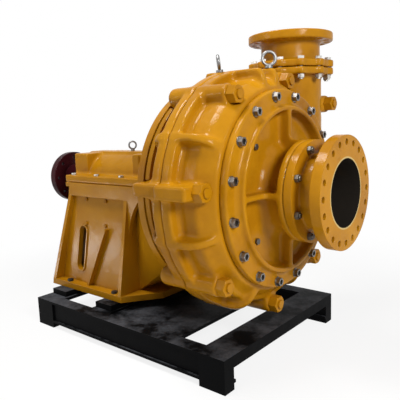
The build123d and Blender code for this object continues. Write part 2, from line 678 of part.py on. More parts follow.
# Rear casing half, with blind bosses for the tie studs
with BuildPart() as rear_casing:
    rear_wall = volute_outline(CASING_JOINT, WALL_INSET, neck_half - NECK_STEP, WALL_TOP)
    extrude(rear_wall, amount=WALL_SETBACK - REAR_DEPTH)
    fillet(rear_casing.faces().sort_by(Axis.X)[0].edges(), WALL_ROUND)
    extrude(volute_outline(CASING_JOINT, 0, neck_half, JOINT_BOTTOM), amount=-BAND_REAR)
    rear_flare = REAR_SHOULDER / 2 + SHOULDER_FLARE
    extrude(round_disc(CASING_JOINT, rear_flare), amount=SHOULDER_DEPTH - REAR_DEPTH)
    extrude(round_disc(CASING_REAR + SHOULDER_DEPTH, rear_flare), amount=-SHOULDER_DEPTH, taper=shoulder_taper)
    add(split(casing_neck.part, bisect_by=joint_plane, keep=Keep.BOTTOM, mode=Mode.PRIVATE))
    for angle in RIB_ANGLES:
        extrude(casing_rib(angle, CASING_REAR + RIB_SETBACK, REAR_SHOULDER / 2), amount=RIB_THICK / 2, both=True)
    extrude(circles(joint_plane, boss_places(True), TIE_BOSS), amount=-BOSS_REAR)
    with BuildSketch(joint_plane) as rear_lug:
        with Locations((lug_y, lug_z)):
            Rectangle(LUG_OUTER - LUG_INNER, LUG_HEIGHT)
    extrude(rear_lug.sketch, amount=-BOSS_REAR)
    with BuildSketch(joint_plane) as rear_web:
        with Locations((web_y - WEB_REACH / 2, web_z)):
            Rectangle(WEB_REACH, RIB_THICK * 2)
    extrude(rear_web.sketch, amount=-BAND_REAR)
    extrude(volute_outline(CASING_JOINT, CASING_WALL, NECK_LINER_DIAMETER / 2 + LINER_GAP, CAVITY_TOP),
            amount=-CAVITY_REAR, mode=Mode.SUBTRACT)
    extrude(round_disc(CAVITY_REAR_X, EYE_RING / 2), amount=REAR_LINER_BACK - CAVITY_REAR_X - LINER_GAP,
            mode=Mode.SUBTRACT)
    extrude(round_disc(CASING_REAR, BOX_SPIGOT / 2 + SLIP), amount=FRONT_DEPTH, mode=Mode.SUBTRACT)
    add(neck_bore.part, mode=Mode.SUBTRACT)
    fillet(rear_casing.edges().filter_by_position(Axis.X, boss_back - 1, boss_back + 1), BOSS_ROUND)
    extrude(circles(joint_plane, tie_places, TIE_STUD + 2 * FIT), amount=STUD_BOTTOM - BOSS_REAR, mode=Mode.SUBTRACT)
    extrude(lug_pin(-LUG_PIN_REACH_REAR, -LUG_OUTER), amount=LUG_PIN_DEPTH, mode=Mode.SUBTRACT)
    extrude(circles(Plane.YZ.offset(CASING_REAR), frame_bolt_places, FRAME_BOLT + 2 * FIT),
            amount=SHOULDER_DEPTH, mode=Mode.SUBTRACT)
finish(rear_casing.part, "rear_casing")

# Studs and nuts of the cover, and the long tie studs with their large nuts
cover_nut_depth = COVER_STUD * NUT_RATIO
with BuildPart() as cover_studs:
    extrude(circles(Plane.YZ.offset(CASING_FRONT - SHOULDER_DEPTH + STUD_SEAT), cover_stud_places, COVER_STUD),
            amount=SHOULDER_DEPTH - STUD_SEAT + COVER_RING_THICK + WASHER_THICK + cover_nut_depth - STUD_SHY)
finish(cover_studs.part, "cover_studs")
with BuildPart() as cover_washers:
    with BuildSketch(Plane.YZ.offset(COVER_FACE)):
        with Locations(*cover_stud_places):
            Circle(COVER_WASHER / 2)
            Circle(COVER_STUD / 2 + 1, mode=Mode.SUBTRACT)
    extrude(amount=WASHER_THICK)
finish(cover_washers.part, "cover_washers")
with BuildPart() as cover_nuts:
    extrude(hexes(Plane.YZ.offset(COVER_FACE + WASHER_THICK), cover_stud_places, COVER_NUT, COVER_STUD + 2 * FIT),
            amount=cover_nut_depth)
finish(cover_nuts.part, "cover_nuts")

stud_back = boss_back + STUD_BOTTOM + STUD_BOTTOM_GAP
with BuildPart() as tie_studs:
    extrude(circles(Plane.YZ.offset(stud_back), tie_places, TIE_STUD),
            amount=boss_face + TIE_NUT_HEIGHT + TIE_END - stud_back)
finish(tie_studs.part, "tie_studs")
with BuildPart() as tie_nuts:
    extrude(hexes(Plane.YZ.offset(boss_face), tie_places, TIE_NUT_WIDTH, TIE_STUD + 2 * FIT),
            amount=TIE_NUT_HEIGHT)
    cone_foot = TIE_NUT_WIDTH + 2 * TIE_NUT_HEIGHT * tan(radians(TIE_NUT_CORNERS))
    extrude(circles(Plane.YZ.offset(boss_face), tie_places, cone_foot), amount=TIE_NUT_HEIGHT,
            taper=TIE_NUT_CORNERS, mode=Mode.INTERSECT)
finish(tie_nuts.part, "tie_nuts")

# Lifting eyes on the tops of two ribs
def eye_bolt(plane, facing, ring, bar_diameter):
    """A collar on a seat plane, with a ring that stands on it and faces an angle in that plane."""
    with BuildSketch(plane) as collar:
        Circle(ring * EYE_COLLAR_RATIO / 2)
    extrude(collar.sketch, amount=EYE_COLLAR_HEIGHT)
    ring_radius = (ring - bar_diameter) / 2
    middle = plane.origin + plane.z_dir * (EYE_COLLAR_HEIGHT + ring_radius + bar_diameter / 4)
    axis_dir = plane.x_dir * cos(radians(facing)) + plane.y_dir * sin(radians(facing))
    with BuildSketch(Plane(middle, x_dir=plane.z_dir, z_dir=plane.z_dir.cross(axis_dir))) as bar:
        with Locations((ring_radius, 0)):
            Circle(bar_diameter / 2)
    revolve(bar.sketch, axis=Axis(middle, axis_dir))


with BuildPart() as casing_eyes:
    for angle, station, facing in EYE_PLACES:
        seat = polar(spiral_radius(angle) + RIB_PROUD, angle)
        seat_plane = Plane((station, *seat), x_dir=(1, 0, 0), z_dir=(0, *polar(1, angle)))
        eye_bolt(seat_plane, facing, LIFT_EYE_RING, LIFT_EYE_BAR)
finish(casing_eyes.part, "casing_eyes")

# Volute liner: the hard-metal spiral, with the channel, the two eye openings and its own neck
with BuildPart() as volute_liner:
    liner_outline = volute_outline(CAVITY_REAR_X + LINER_GAP, CASING_WALL + LINER_GAP, NECK_LINER_DIAMETER / 2,
                                   CAVITY_TOP - LINER_GAP)
    extrude(liner_outline, amount=CAVITY_FRONT_X - CAVITY_REAR_X - 2 * LINER_GAP)
    with BuildSketch(Plane.XY.offset(neck_bore_foot + 2 * LINER_GAP)) as liner_neck_disc:
        with Locations((DISCHARGE_X, DISCHARGE_Y)):
            Circle(NECK_LINER_DIAMETER / 2)
    extrude(liner_neck_disc.sketch, amount=NECK_Z - neck_bore_foot - 2 * LINER_GAP)
    extrude(volute_outline(CHANNEL_REAR, CHANNEL_INSET, DISCHARGE_BORE / 2, CAVITY_TOP),
            amount=CHANNEL_WIDTH, mode=Mode.SUBTRACT)
    extrude(round_disc(CAVITY_REAR_X, EYE_RING / 2), amount=CAVITY_FRONT_X - CAVITY_REAR_X, mode=Mode.SUBTRACT)
    passage_foot = CAVITY_TOP - PASSAGE_LAP
    with BuildSketch(Plane.XY.offset(passage_foot)) as neck_passage:
        with Locations((DISCHARGE_X, DISCHARGE_Y)):
            Circle(DISCHARGE_BORE / 2)
    extrude(neck_passage.sketch, amount=NECK_Z - passage_foot, mode=Mode.SUBTRACT)
finish(volute_liner.part, "volute_liner")

# Front liner: the wear disc behind the cover, with the neck that leads the suction in
with BuildPart() as front_liner:
    extrude(round_disc(SPIGOT_BACK, COVER_SPIGOT / 2), amount=CHANNEL_FRONT - SPIGOT_BACK)
    extrude(round_disc(SPIGOT_BACK, liner_neck), amount=liner_neck_end - SPIGOT_BACK)
    extrude(round_disc(hub_back, SPOOL_BORE_RADIUS), amount=CHANNEL_FRONT - hub_back, mode=Mode.SUBTRACT)
    extrude(circles(Plane.YZ.offset(SPIGOT_BACK), liner_bolt_places, LINER_BOLT + 2 * FIT),
            amount=-LINER_BOLT_DEPTH - 2 * LINER_GAP, mode=Mode.SUBTRACT)
finish(front_liner.part, "front_liner")
with BuildPart() as liner_bolts:
    extrude(circles(Plane.YZ.offset(SPIGOT_BACK - LINER_BOLT_DEPTH), liner_bolt_places, LINER_BOLT),
            amount=dish_floor - SPIGOT_BACK + LINER_BOLT_DEPTH)
    extrude(hexes(Plane.YZ.offset(dish_floor), liner_bolt_places, LINER_BOLT_HEAD), amount=LINER_BOLT * HEAD_RATIO)
finish(liner_bolts.part, "liner_bolts")

# Rear liner: the wear disc in front of the stuffing box
with BuildPart() as rear_liner:
    extrude(round_disc(REAR_LINER_BACK, COVER_SPIGOT / 2, SLEEVE_DIAMETER / 2 + 15), amount=REAR_LINER_THICK)
finish(rear_liner.part, "rear_liner")

# Impeller: two shrouds with curved vanes between them, a hub and small expelling vanes behind
front_shroud = CHANNEL_FRONT - IMPELLER_RUN
rear_shroud = REAR_LINER_FRONT + IMPELLER_RUN
tip = IMPELLER_DIAMETER / 2
hub_nose = front_shroud - HUB_SHY
with BuildPart() as impeller:
    extrude(round_disc(rear_shroud, tip), amount=SHROUD_THICK)
    extrude(round_disc(front_shroud, tip, IMPELLER_EYE / 2), amount=-SHROUD_THICK)
    with BuildSketch(Plane.YZ.offset(rear_shroud + SHROUD_THICK)) as vanes:
        with BuildLine() as camber:
            for index in range(VANES):
                turn = 360 / VANES * index
                ThreePointArc(polar(110, turn + 30), polar(260, turn - 5), polar(tip - 4, turn - 62))
        trace(camber.edges(), VANE_THICK)
        Circle(tip, mode=Mode.INTERSECT)
    extrude(vanes.sketch, amount=front_shroud - rear_shroud - 2 * SHROUD_THICK)
    with BuildSketch(Plane.XY) as hub:
        with BuildLine():
            Line((rear_shroud, 0), (rear_shroud, IMPELLER_HUB / 2))
            Spline((rear_shroud, IMPELLER_HUB / 2), (rear_shroud + 70, IMPELLER_HUB / 2 - 20), (hub_nose, 0),
                   tangents=((1, 0), (0, -1)))
            Line((hub_nose, 0), (rear_shroud, 0))
        make_face()
    revolve(hub.sketch, axis=Axis.X)
    with BuildSketch(Plane.YZ.offset(rear_shroud)) as expellers:
        with PolarLocations((tip + IMPELLER_HUB / 2) / 2, 2 * VANES):
            Rectangle(tip - IMPELLER_HUB / 2 - 2 * EXPELLER_INSET, EXPELLER_WIDTH)
    extrude(expellers.sketch, amount=-EXPELLER_HEIGHT)
    extrude(round_disc(rear_shroud - EXPELLER_HEIGHT, IMPELLER_THREAD / 2 + FIT),
            amount=EXPELLER_HEIGHT + THREAD_DEPTH, mode=Mode.SUBTRACT)
finish(impeller.part, "impeller")

# Adapter ring, set off by narrow slots from the casing and from the pedestal's flange
with BuildPart() as adapter_ring:
    extrude(round_disc(FLANGE_FRONT, ADAPTER_SPIGOT / 2), amount=CASING_REAR - FLANGE_FRONT)
    extrude(round_disc(ADAPTER_REAR, ADAPTER_DIAMETER / 2), amount=ADAPTER_THICK)
    extrude(circles(Plane.YZ.offset(FLANGE_FRONT), tie_places, TIE_BOSS + 6),
            amount=CASING_REAR - FLANGE_FRONT, mode=Mode.SUBTRACT)
    extrude(round_disc(FLANGE_FRONT, FRAME_BORE / 2), amount=CASING_REAR - FLANGE_FRONT, mode=Mode.SUBTRACT)
    extrude(circles(Plane.YZ.offset(FLANGE_FRONT), frame_bolt_places, FRAME_BOLT + 2),
            amount=CASING_REAR - FLANGE_FRONT, mode=Mode.SUBTRACT)
finish(adapter_ring.part, "adapter_ring")

# Discharge spool and its gasket
with BuildPart() as discharge_spool:
    extrude(joint_plate(SPOOL_FOOT, JOINT_UPPER_THICK), amount=JOINT_UPPER_THICK)
    with BuildSketch(Plane.XY.offset(SPOOL_FOOT)) as riser:
        with Locations((DISCHARGE_X, DISCHARGE_Y)):
            Circle(SPOOL_NECK_DIAMETER / 2)
    extrude(riser.sketch, amount=DISCHARGE_TOP - SPOOL_FOOT)
    with BuildSketch(Plane.XY.offset(DISCHARGE_TOP)) as top_flange:
        with Locations((DISCHARGE_X, DISCHARGE_Y)):
            Circle(DISCHARGE_FLANGE / 2)
    extrude(top_flange.sketch, amount=-DISCHARGE_FLANGE_THICK)
    with BuildSketch(Plane.XY.offset(DISCHARGE_TOP)) as openings:
        with Locations((DISCHARGE_X, DISCHARGE_Y)):
            Circle(DISCHARGE_BORE / 2)
    extrude(openings.sketch, amount=SPOOL_FOOT - DISCHARGE_TOP, mode=Mode.SUBTRACT)
    discharge_holes = [
        (DISCHARGE_X + y, DISCHARGE_Y + z)
        for y, z in around(DISCHARGE_HOLE_CIRCLE / 2, DISCHARGE_HOLES, 180 / DISCHARGE_HOLES)
    ]
    extrude(circles(Plane.XY.offset(DISCHARGE_TOP), discharge_holes, PIPE_HOLE),
            amount=-DISCHARGE_FLANGE_THICK, mode=Mode.SUBTRACT)
finish(discharge_spool.part, "discharge_spool")
with BuildPart() as discharge_gasket:
    with BuildSketch(Plane.XY.offset(NECK_Z)):
        with Locations((DISCHARGE_X, DISCHARGE_Y)):
            Circle(JOINT_BOLT_CIRCLE / 2 - JOINT_BOLT)
            Circle(DISCHARGE_BORE / 2, mode=Mode.SUBTRACT)
    extrude(amount=GASKET)
finish(discharge_gasket.part, "discharge_gasket")

# Bolts and nuts of the discharge joint
nut_height = JOINT_BOLT * NUT_RATIO
joint_height = JOINT_LOWER_THICK + GASKET + JOINT_UPPER_THICK
joint_top = JOINT_BOTTOM + joint_height
with BuildPart() as discharge_bolts:
    extrude(circles(Plane.XY.offset(joint_top), joint_bolt_places, JOINT_BOLT),
            amount=-joint_height - nut_height - THREAD_END)
    extrude(hexes(Plane.XY.offset(joint_top), joint_bolt_places, JOINT_NUT), amount=JOINT_BOLT * HEAD_RATIO)
finish(discharge_bolts.part, "discharge_bolts")
with BuildPart() as discharge_nuts:
    extrude(hexes(Plane.XY.offset(JOINT_BOTTOM), joint_bolt_places, JOINT_NUT, JOINT_BOLT + 2 * FIT),
            amount=-nut_height)
finish(discharge_nuts.part, "discharge_nuts")

# Stuffing box behind the rear liner
with BuildPart() as stuffing_box:
    extrude(round_disc(BOX_FRONT, BOX_FLANGE / 2), amount=CASING_REAR - BOX_FRONT)
    extrude(round_disc(CASING_REAR, BOX_SPIGOT / 2), amount=REAR_LINER_BACK - CASING_REAR)
    extrude(round_disc(BOX_FRONT, BOX_BODY / 2), amount=BOX_END - BOX_FRONT)
    extrude(round_disc(REAR_LINER_BACK, SLEEVE_DIAMETER / 2 + 3), amount=BOX_END - REAR_LINER_BACK,
            mode=Mode.SUBTRACT)
    extrude(round_disc(PACKING_FRONT, BOX_BORE / 2), amount=BOX_END - PACKING_FRONT, mode=Mode.SUBTRACT)
    gland_studs_at = [(GLAND_STUD_CIRCLE / 2, 0), (-GLAND_STUD_CIRCLE / 2, 0)]
    extrude(circles(Plane.YZ.offset(BOX_END), gland_studs_at, GLAND_STUD + 2 * FIT),
            amount=GLAND_STUD_DEPTH + GLAND_STUD_RELIEF, mode=Mode.SUBTRACT)
finish(stuffing_box.part, "stuffing_box")

# Soft packing rings with the lantern ring between them
packing_inner = SLEEVE_DIAMETER / 2 + FIT
packing_outer = BOX_BORE / 2 - FIT
with BuildPart() as packing_rings:
    for slot in (0, 1, 3, 4):
        extrude(round_disc(PACKING_FRONT - PACKING_THICK * slot, packing_outer, packing_inner),
                amount=-(PACKING_THICK - SLIP))
finish(packing_rings.part, "packing_rings")
with BuildPart() as lantern_ring:
    extrude(round_disc(PACKING_FRONT - 2 * PACKING_THICK, packing_outer, packing_inner + 1),
            amount=-(PACKING_THICK - SLIP))
    with BuildSketch(Plane.XY.offset(-packing_outer)) as ports:
        with Locations((PACKING_FRONT - 2.5 * PACKING_THICK, 0)):
            Circle(4)
    extrude(ports.sketch, amount=2 * packing_outer, mode=Mode.SUBTRACT)
finish(lantern_ring.part, "lantern_ring")

# Gland: a split follower that slides back along its two studs for repacking
with BuildPart() as gland:
    extrude(round_disc(GLAND_FACE, GLAND_FLANGE / 2), amount=-GLAND_FLANGE_THICK)
    extrude(round_disc(GLAND_FACE, BOX_BORE / 2 - SLIP), amount=GLAND_NOSE)
    extrude(round_disc(GLAND_FACE + GLAND_NOSE, SLEEVE_DIAMETER / 2 + 2),
            amount=-(GLAND_NOSE + GLAND_FLANGE_THICK), mode=Mode.SUBTRACT)
    extrude(circles(Plane.YZ.offset(GLAND_FACE), gland_studs_at, GLAND_STUD + 2), amount=-GLAND_FLANGE_THICK,
            mode=Mode.SUBTRACT)
    with BuildSketch(Plane.YZ.offset(GLAND_FACE + GLAND_NOSE)) as saw_cut:
        Rectangle(1, GLAND_FLANGE + 2)
    extrude(saw_cut.sketch, amount=-(GLAND_NOSE + GLAND_FLANGE_THICK), mode=Mode.SUBTRACT)
finish(gland.part, "gland")
gland_back = GLAND_FACE - GLAND_FLANGE_THICK
with BuildPart() as gland_studs:
    extrude(circles(Plane.YZ.offset(BOX_END + GLAND_STUD_DEPTH), gland_studs_at, GLAND_STUD),
            amount=gland_back - GLAND_TRAVEL - GLAND_STUD_SPARE - BOX_END - GLAND_STUD_DEPTH)
finish(gland_studs.part, "gland_studs")
with BuildPart() as gland_nuts:
    extrude(hexes(Plane.YZ.offset(gland_back), gland_studs_at, GLAND_NUT, GLAND_STUD + 2 * FIT),
            amount=-GLAND_STUD * NUT_RATIO)
finish(gland_nuts.part, "gland_nuts")

# Shaft, turned in steps from the impeller thread to the coupling seat
pump_inner = PUMP_BEARING_X + BEARING_WIDTH / 2
drive_outer = DRIVE_BEARING_X - BEARING_WIDTH / 2
sleeve_front = rear_shroud - EXPELLER_HEIGHT
sleeve_back = GLAND_FACE - GLAND_FLANGE_THICK - 60
with BuildPart() as shaft:
    extrude(round_disc(SHAFT_END, COUPLING_SEAT / 2), amount=sleeve_front + THREAD_DEPTH - 10 - SHAFT_END)
    extrude(round_disc(sleeve_back, SHAFT_BODY / 2), amount=-SHAFT_COLLAR)
    extrude(round_disc(drive_outer, SEAT_DIAMETER / 2), amount=sleeve_front - drive_outer)
    extrude(round_disc(DRIVE_BEARING_X + BEARING_WIDTH / 2, SHAFT_BODY / 2),
            amount=PUMP_BEARING_X - DRIVE_BEARING_X - BEARING_WIDTH)
    key_plane = Plane.XY.offset(COUPLING_SEAT / 2 - KEY_HEIGHT / 2)
    with BuildSketch(key_plane) as keyway:
        with Locations((SHAFT_END + COUPLING_THICK + 30, 0)):
            SlotOverall(COUPLING_HUB_LENGTH, KEY_WIDTH)
    extrude(keyway.sketch, amount=KEY_HEIGHT, mode=Mode.SUBTRACT)
finish(shaft.part, "shaft")
with BuildPart() as shaft_sleeve:
    extrude(round_disc(sleeve_back, SLEEVE_DIAMETER / 2, SEAT_DIAMETER / 2 + FIT),
            amount=sleeve_front - sleeve_back)
finish(shaft_sleeve.part, "shaft_sleeve")

# Coupling half on the drive end, with its key
coupling_front = SHAFT_END + COUPLING_THICK
with BuildPart() as coupling_half:
    extrude(round_disc(SHAFT_END, COUPLING_DIAMETER / 2), amount=COUPLING_THICK)
    chamfer(coupling_half.edges().filter_by(GeomType.CIRCLE), 4)
    extrude(round_disc(coupling_front, COUPLING_HUB / 2), amount=COUPLING_HUB_LENGTH)
    extrude(round_disc(SHAFT_END, COUPLING_SEAT / 2 + FIT), amount=COUPLING_THICK + COUPLING_HUB_LENGTH,
            mode=Mode.SUBTRACT)
    extrude(circles(Plane.YZ.offset(SHAFT_END), around(COUPLING_HOLE_CIRCLE / 2, COUPLING_HOLES), COUPLING_HOLE),
            amount=COUPLING_THICK, mode=Mode.SUBTRACT)
    with BuildSketch(key_plane) as key_slot:
        with Locations((SHAFT_END + (COUPLING_THICK + COUPLING_HUB_LENGTH) / 2, 0)):
            Rectangle(COUPLING_THICK + COUPLING_HUB_LENGTH, KEY_WIDTH + 2 * FIT)
    extrude(key_slot.sketch, amount=KEY_HEIGHT + FIT, mode=Mode.SUBTRACT)
finish(coupling_half.part, "coupling_half")
with BuildPart() as coupling_key:
    with BuildSketch(key_plane):
        with Locations((SHAFT_END + COUPLING_THICK + 30, 0)):
            SlotOverall(COUPLING_HUB_LENGTH - 2 * FIT, KEY_WIDTH - 2 * FIT)
    extrude(amount=KEY_HEIGHT)
finish(coupling_key.part, "coupling_key")

# Two roller bearings: rings, cage and rollers of each
inner_race = SEAT_DIAMETER / 2 + RACE_DEPTH
outer_race = BEARING_OUTER / 2 - RACE_DEPTH
pitch = (inner_race + outer_race) / 2
roller = min(ROLLER_DIAMETER, outer_race - inner_race - 0.6)
for end, middle in (("pump_end", PUMP_BEARING_X), ("drive_end", DRIVE_BEARING_X)):
    rear_face = middle - BEARING_WIDTH / 2
    with BuildPart() as inner_ring:
        extrude(round_disc(rear_face, inner_race, SEAT_DIAMETER / 2 + FIT), amount=BEARING_WIDTH)
    finish(inner_ring.part, f"{end}_inner_ring")
    with BuildPart() as outer_ring:
        extrude(round_disc(rear_face, BEARING_OUTER / 2, outer_race), amount=BEARING_WIDTH)
    finish(outer_ring.part, f"{end}_outer_ring")
    with BuildPart() as cage:
        extrude(round_disc(rear_face + 4, pitch + 5, pitch - 5), amount=BEARING_WIDTH - 8)
        extrude(circles(Plane.YZ.offset(middle - ROLLER_LENGTH / 2 - 0.2), around(pitch, ROLLERS), roller + 0.4),
                amount=ROLLER_LENGTH + 0.4, mode=Mode.SUBTRACT)
    finish(cage.part, f"{end}_cage")
    with BuildPart() as rollers:
        extrude(circles(Plane.YZ.offset(middle - ROLLER_LENGTH / 2), around(pitch, ROLLERS), roller),
                amount=ROLLER_LENGTH)
    finish(rollers.part, f"{end}_rollers")

# Bearing cap: the upper half of the housing, bolted down on the pedestal
housing_length = HOUSING_FRONT - HOUSING_REAR
housing_middle = (HOUSING_FRONT + HOUSING_REAR) / 2
cap_half = PEDESTAL_TOP_HALF - CAP_SETBACK
pad_top = HOUSING_DIAMETER / 2 + PAD_RISE
cap_bolt_places = [
    (HOUSING_REAR + CAP_BOLT_MARGIN + CAP_BOLT_STEP * index, side * CAP_BOLT_Y)
    for index in range(CAP_BOLTS) for side in (-1, 1)
]


def housing_bores():
    """The two bearing seats and the wider oil chamber between them."""
    extrude(round_disc(HOUSING_REAR, BEARING_OUTER / 2 + FIT), amount=housing_length, mode=Mode.SUBTRACT)
    extrude(round_disc(DRIVE_BEARING_X + BEARING_WIDTH / 2, CHAMBER_DIAMETER / 2),
            amount=PUMP_BEARING_X - DRIVE_BEARING_X - BEARING_WIDTH, mode=Mode.SUBTRACT)


with BuildPart() as bearing_cap:
    extrude(round_disc(HOUSING_REAR, HOUSING_DIAMETER / 2), amount=housing_length)
    for block_end, block_length in ((HOUSING_REAR, END_BLOCK), (HOUSING_FRONT, -PUMP_END_BLOCK)):
        with BuildSketch(Plane.YZ.offset(block_end)) as block:
            Rectangle(HOUSING_DIAMETER + 2 * BLOCK_PROUD, HOUSING_DIAMETER)
        extrude(block.sketch, amount=block_length)
    split(bisect_by=Plane.XY, keep=Keep.TOP)
    block_side = HOUSING_DIAMETER / 2 + BLOCK_PROUD
    for side in (-1, 1):
        with BuildSketch(Plane((BLOCK_SLOT_X, side * block_side, BLOCK_SLOT_Z), z_dir=(0, -side, 0))) as recess:
            Rectangle(BLOCK_SLOT_LENGTH, BLOCK_SLOT_HEIGHT)
        extrude(recess.sketch, amount=BLOCK_SLOT_DEPTH, mode=Mode.SUBTRACT)
    with BuildSketch(Plane.XY) as cap_flange:
        with Locations((housing_middle, 0)):
            Rectangle(housing_length, 2 * cap_half)
    extrude(cap_flange.sketch, amount=CAP_FLANGE_THICK)
    with BuildSketch(Plane.XY.offset(pad_top)) as spine:
        with Locations((housing_middle, 0)):
            Rectangle(housing_length, SPINE_WIDTH)
    extrude(spine.sketch, amount=BEARING_OUTER / 2 - pad_top)
    housing_bores()
    extrude(circles(Plane.XY, cap_bolt_places, CAP_BOLT + 2), amount=CAP_FLANGE_THICK, mode=Mode.SUBTRACT)
finish(bearing_cap.part, "bearing_cap")
with BuildPart() as cap_bolts:
    extrude(circles(Plane.XY.offset(-CAP_BOLT_DEPTH), cap_bolt_places, CAP_BOLT),
            amount=CAP_BOLT_DEPTH + CAP_FLANGE_THICK)
    extrude(hexes(Plane.XY.offset(CAP_FLANGE_THICK), cap_bolt_places, CAP_BOLT_HEAD), amount=CAP_BOLT * HEAD_RATIO)
finish(cap_bolts.part, "cap_bolts")
with BuildPart() as breather:
    extrude(circles(Plane.XY.offset(pad_top), [(VENT_X, 0)], VENT_STEM), amount=VENT_STEM_HEIGHT)
    extrude(circles(Plane.XY.offset(pad_top + VENT_STEM_HEIGHT), [(VENT_X, 0)], VENT_CAP), amount=VENT_CAP_HEIGHT)
    fillet(breather.edges().filter_by(GeomType.CIRCLE).sort_by(Axis.Z)[-1:], VENT_CAP_HEIGHT / 3)
finish(breather.part, "breather")

with BuildPart() as housing_eye:
    housing_seat = Plane((HOUSING_EYE_X, 0, pad_top))
    eye_bolt(housing_seat, HOUSING_EYE_FACING, HOUSING_EYE_RING, HOUSING_EYE_BAR)
finish(housing_eye.part, "housing_eye")

# End covers of the housing, their screws and the oil seals on the shaft
cover_screws = around(END_COVER_DIAMETER / 2 - END_COVER_SCREW, END_COVER_SCREWS, 180 / END_COVER_SCREWS)
for end, face, way in (("pump_end", HOUSING_FRONT, 1), ("drive_end", HOUSING_REAR, -1)):
    shaft_radius = SEAT_DIAMETER / 2 if way > 0 else COUPLING_SEAT / 2
    seal_radius = shaft_radius + SEAL_DEPTH
    bearing_face = PUMP_BEARING_X + BEARING_WIDTH / 2 if way > 0 else DRIVE_BEARING_X - BEARING_WIDTH / 2
    with BuildPart() as end_cover:
        extrude(round_disc(face, END_COVER_DIAMETER / 2), amount=way * END_COVER_THICK)
        extrude(round_disc(face, BEARING_OUTER / 2 - SLIP), amount=bearing_face - face)
        extrude(round_disc(face + way * END_COVER_THICK, seal_radius + SEAL_COLLAR), amount=way * SEAL_WIDTH)
        extrude(round_disc(bearing_face, shaft_radius + 3), amount=way * BEARING_OUTER, mode=Mode.SUBTRACT)
        extrude(round_disc(bearing_face, outer_race), amount=face - bearing_face + way * 6, mode=Mode.SUBTRACT)
        extrude(round_disc(face + way * END_COVER_THICK, seal_radius), amount=way * SEAL_WIDTH,
                mode=Mode.SUBTRACT)
        extrude(circles(Plane.YZ.offset(face), cover_screws, END_COVER_SCREW + 2), amount=way * END_COVER_THICK,
                mode=Mode.SUBTRACT)
    finish(end_cover.part, f"{end}_cover")
with BuildPart() as end_cover_screws:
    for face, way in ((HOUSING_FRONT, 1), (HOUSING_REAR, -1)):
        extrude(circles(Plane.YZ.offset(face), cover_screws, END_COVER_SCREW), amount=way * END_COVER_THICK)
        extrude(hexes(Plane.YZ.offset(face + way * END_COVER_THICK), cover_screws, PANEL_BOLT_HEAD),
                amount=way * END_COVER_SCREW * HEAD_RATIO)
finish(end_cover_screws.part, "end_cover_screws")
with BuildPart() as oil_seals:
    for face, way in ((HOUSING_FRONT, 1), (HOUSING_REAR, -1)):
        shaft_radius = SEAT_DIAMETER / 2 if way > 0 else COUPLING_SEAT / 2
        extrude(round_disc(face + way * END_COVER_THICK, shaft_radius + SEAL_DEPTH - FIT, shaft_radius + FIT),
                amount=way * SEAL_WIDTH)
finish(oil_seals.part, "oil_seals")
with BuildPart() as slinger:
    slinger_face = HOUSING_FRONT + END_COVER_THICK + SEAL_WIDTH + 3
    extrude(round_disc(slinger_face, SLINGER_DIAMETER / 2, SEAT_DIAMETER / 2 + FIT), amount=SLINGER_THICK)
finish(slinger.part, "slinger")
with BuildPart() as lock_nut:
    extrude(round_disc(drive_outer, SEAT_DIAMETER / 2 + 16, COUPLING_SEAT / 2 + FIT), amount=-LOCK_NUT_THICK)
finish(lock_nut.part, "lock_nut")

# Pedestal: a frame of end plates, base and beams, with panels set in, the saddle and the funnel
side_view = [
    (PEDESTAL_REAR_TOP, 0), (PEDESTAL_FRONT, 0),
    (PEDESTAL_FRONT, PEDESTAL_BOTTOM), (PEDESTAL_REAR_FOOT, PEDESTAL_BOTTOM),
]
lean = (PEDESTAL_REAR_TOP - PEDESTAL_REAR_FOOT) / -PEDESTAL_BOTTOM
base_top = PEDESTAL_BOTTOM + BASE_PLATE
side_hollow = [
    (PEDESTAL_REAR_TOP - lean * BEAM_DEPTH + PLATE, -BEAM_DEPTH), (PEDESTAL_FRONT - PLATE, -BEAM_DEPTH),
    (PEDESTAL_FRONT - PLATE, base_top), (PEDESTAL_REAR_TOP + lean * base_top + PLATE, base_top),
]
with BuildPart() as pedestal_frame:
    with BuildSketch(Plane.XZ) as frame_side:
        with BuildLine():
            Polyline(*side_view, close=True)
        make_face()
        with BuildLine():
            Polyline(*side_hollow, close=True)
        make_face(mode=Mode.SUBTRACT)
    extrude(frame_side.sketch, amount=PEDESTAL_BASE_HALF, both=True)
    with BuildSketch(Plane.YZ.offset(PEDESTAL_REAR_FOOT)) as frame_end:
        with BuildLine():
            Polyline((-PEDESTAL_TOP_HALF, 0), (PEDESTAL_TOP_HALF, 0), (PEDESTAL_TOP_HALF, -BEAM_DEPTH),
                     (PEDESTAL_BASE_HALF, base_top), (PEDESTAL_BASE_HALF, PEDESTAL_BOTTOM),
                     (-PEDESTAL_BASE_HALF, PEDESTAL_BOTTOM), (-PEDESTAL_BASE_HALF, base_top),
                     (-PEDESTAL_TOP_HALF, -BEAM_DEPTH), close=True)
        make_face()
    extrude(frame_end.sketch, amount=PEDESTAL_FRONT - PEDESTAL_REAR_FOOT, mode=Mode.INTERSECT)
top_y = PEDESTAL_TOP_HALF - PANEL_INSET
foot_y = PEDESTAL_BASE_HALF - PANEL_INSET - PLATE


def panel_layer(depth, proud):
    """Both sloping panels seen from the end, from a depth behind their faces to a height proud of them."""
    with BuildSketch(Plane.YZ.offset(PEDESTAL_REAR_FOOT)) as layer:
        for side in (-1, 1):
            with BuildLine():
                Polyline((side * (top_y + proud), -PANEL_LAP), (side * (foot_y + proud), base_top - PANEL_LAP),
                         (side * (foot_y - depth), base_top - PANEL_LAP), (side * (top_y - depth), -PANEL_LAP),
                         close=True)
            make_face()
    return layer.sketch


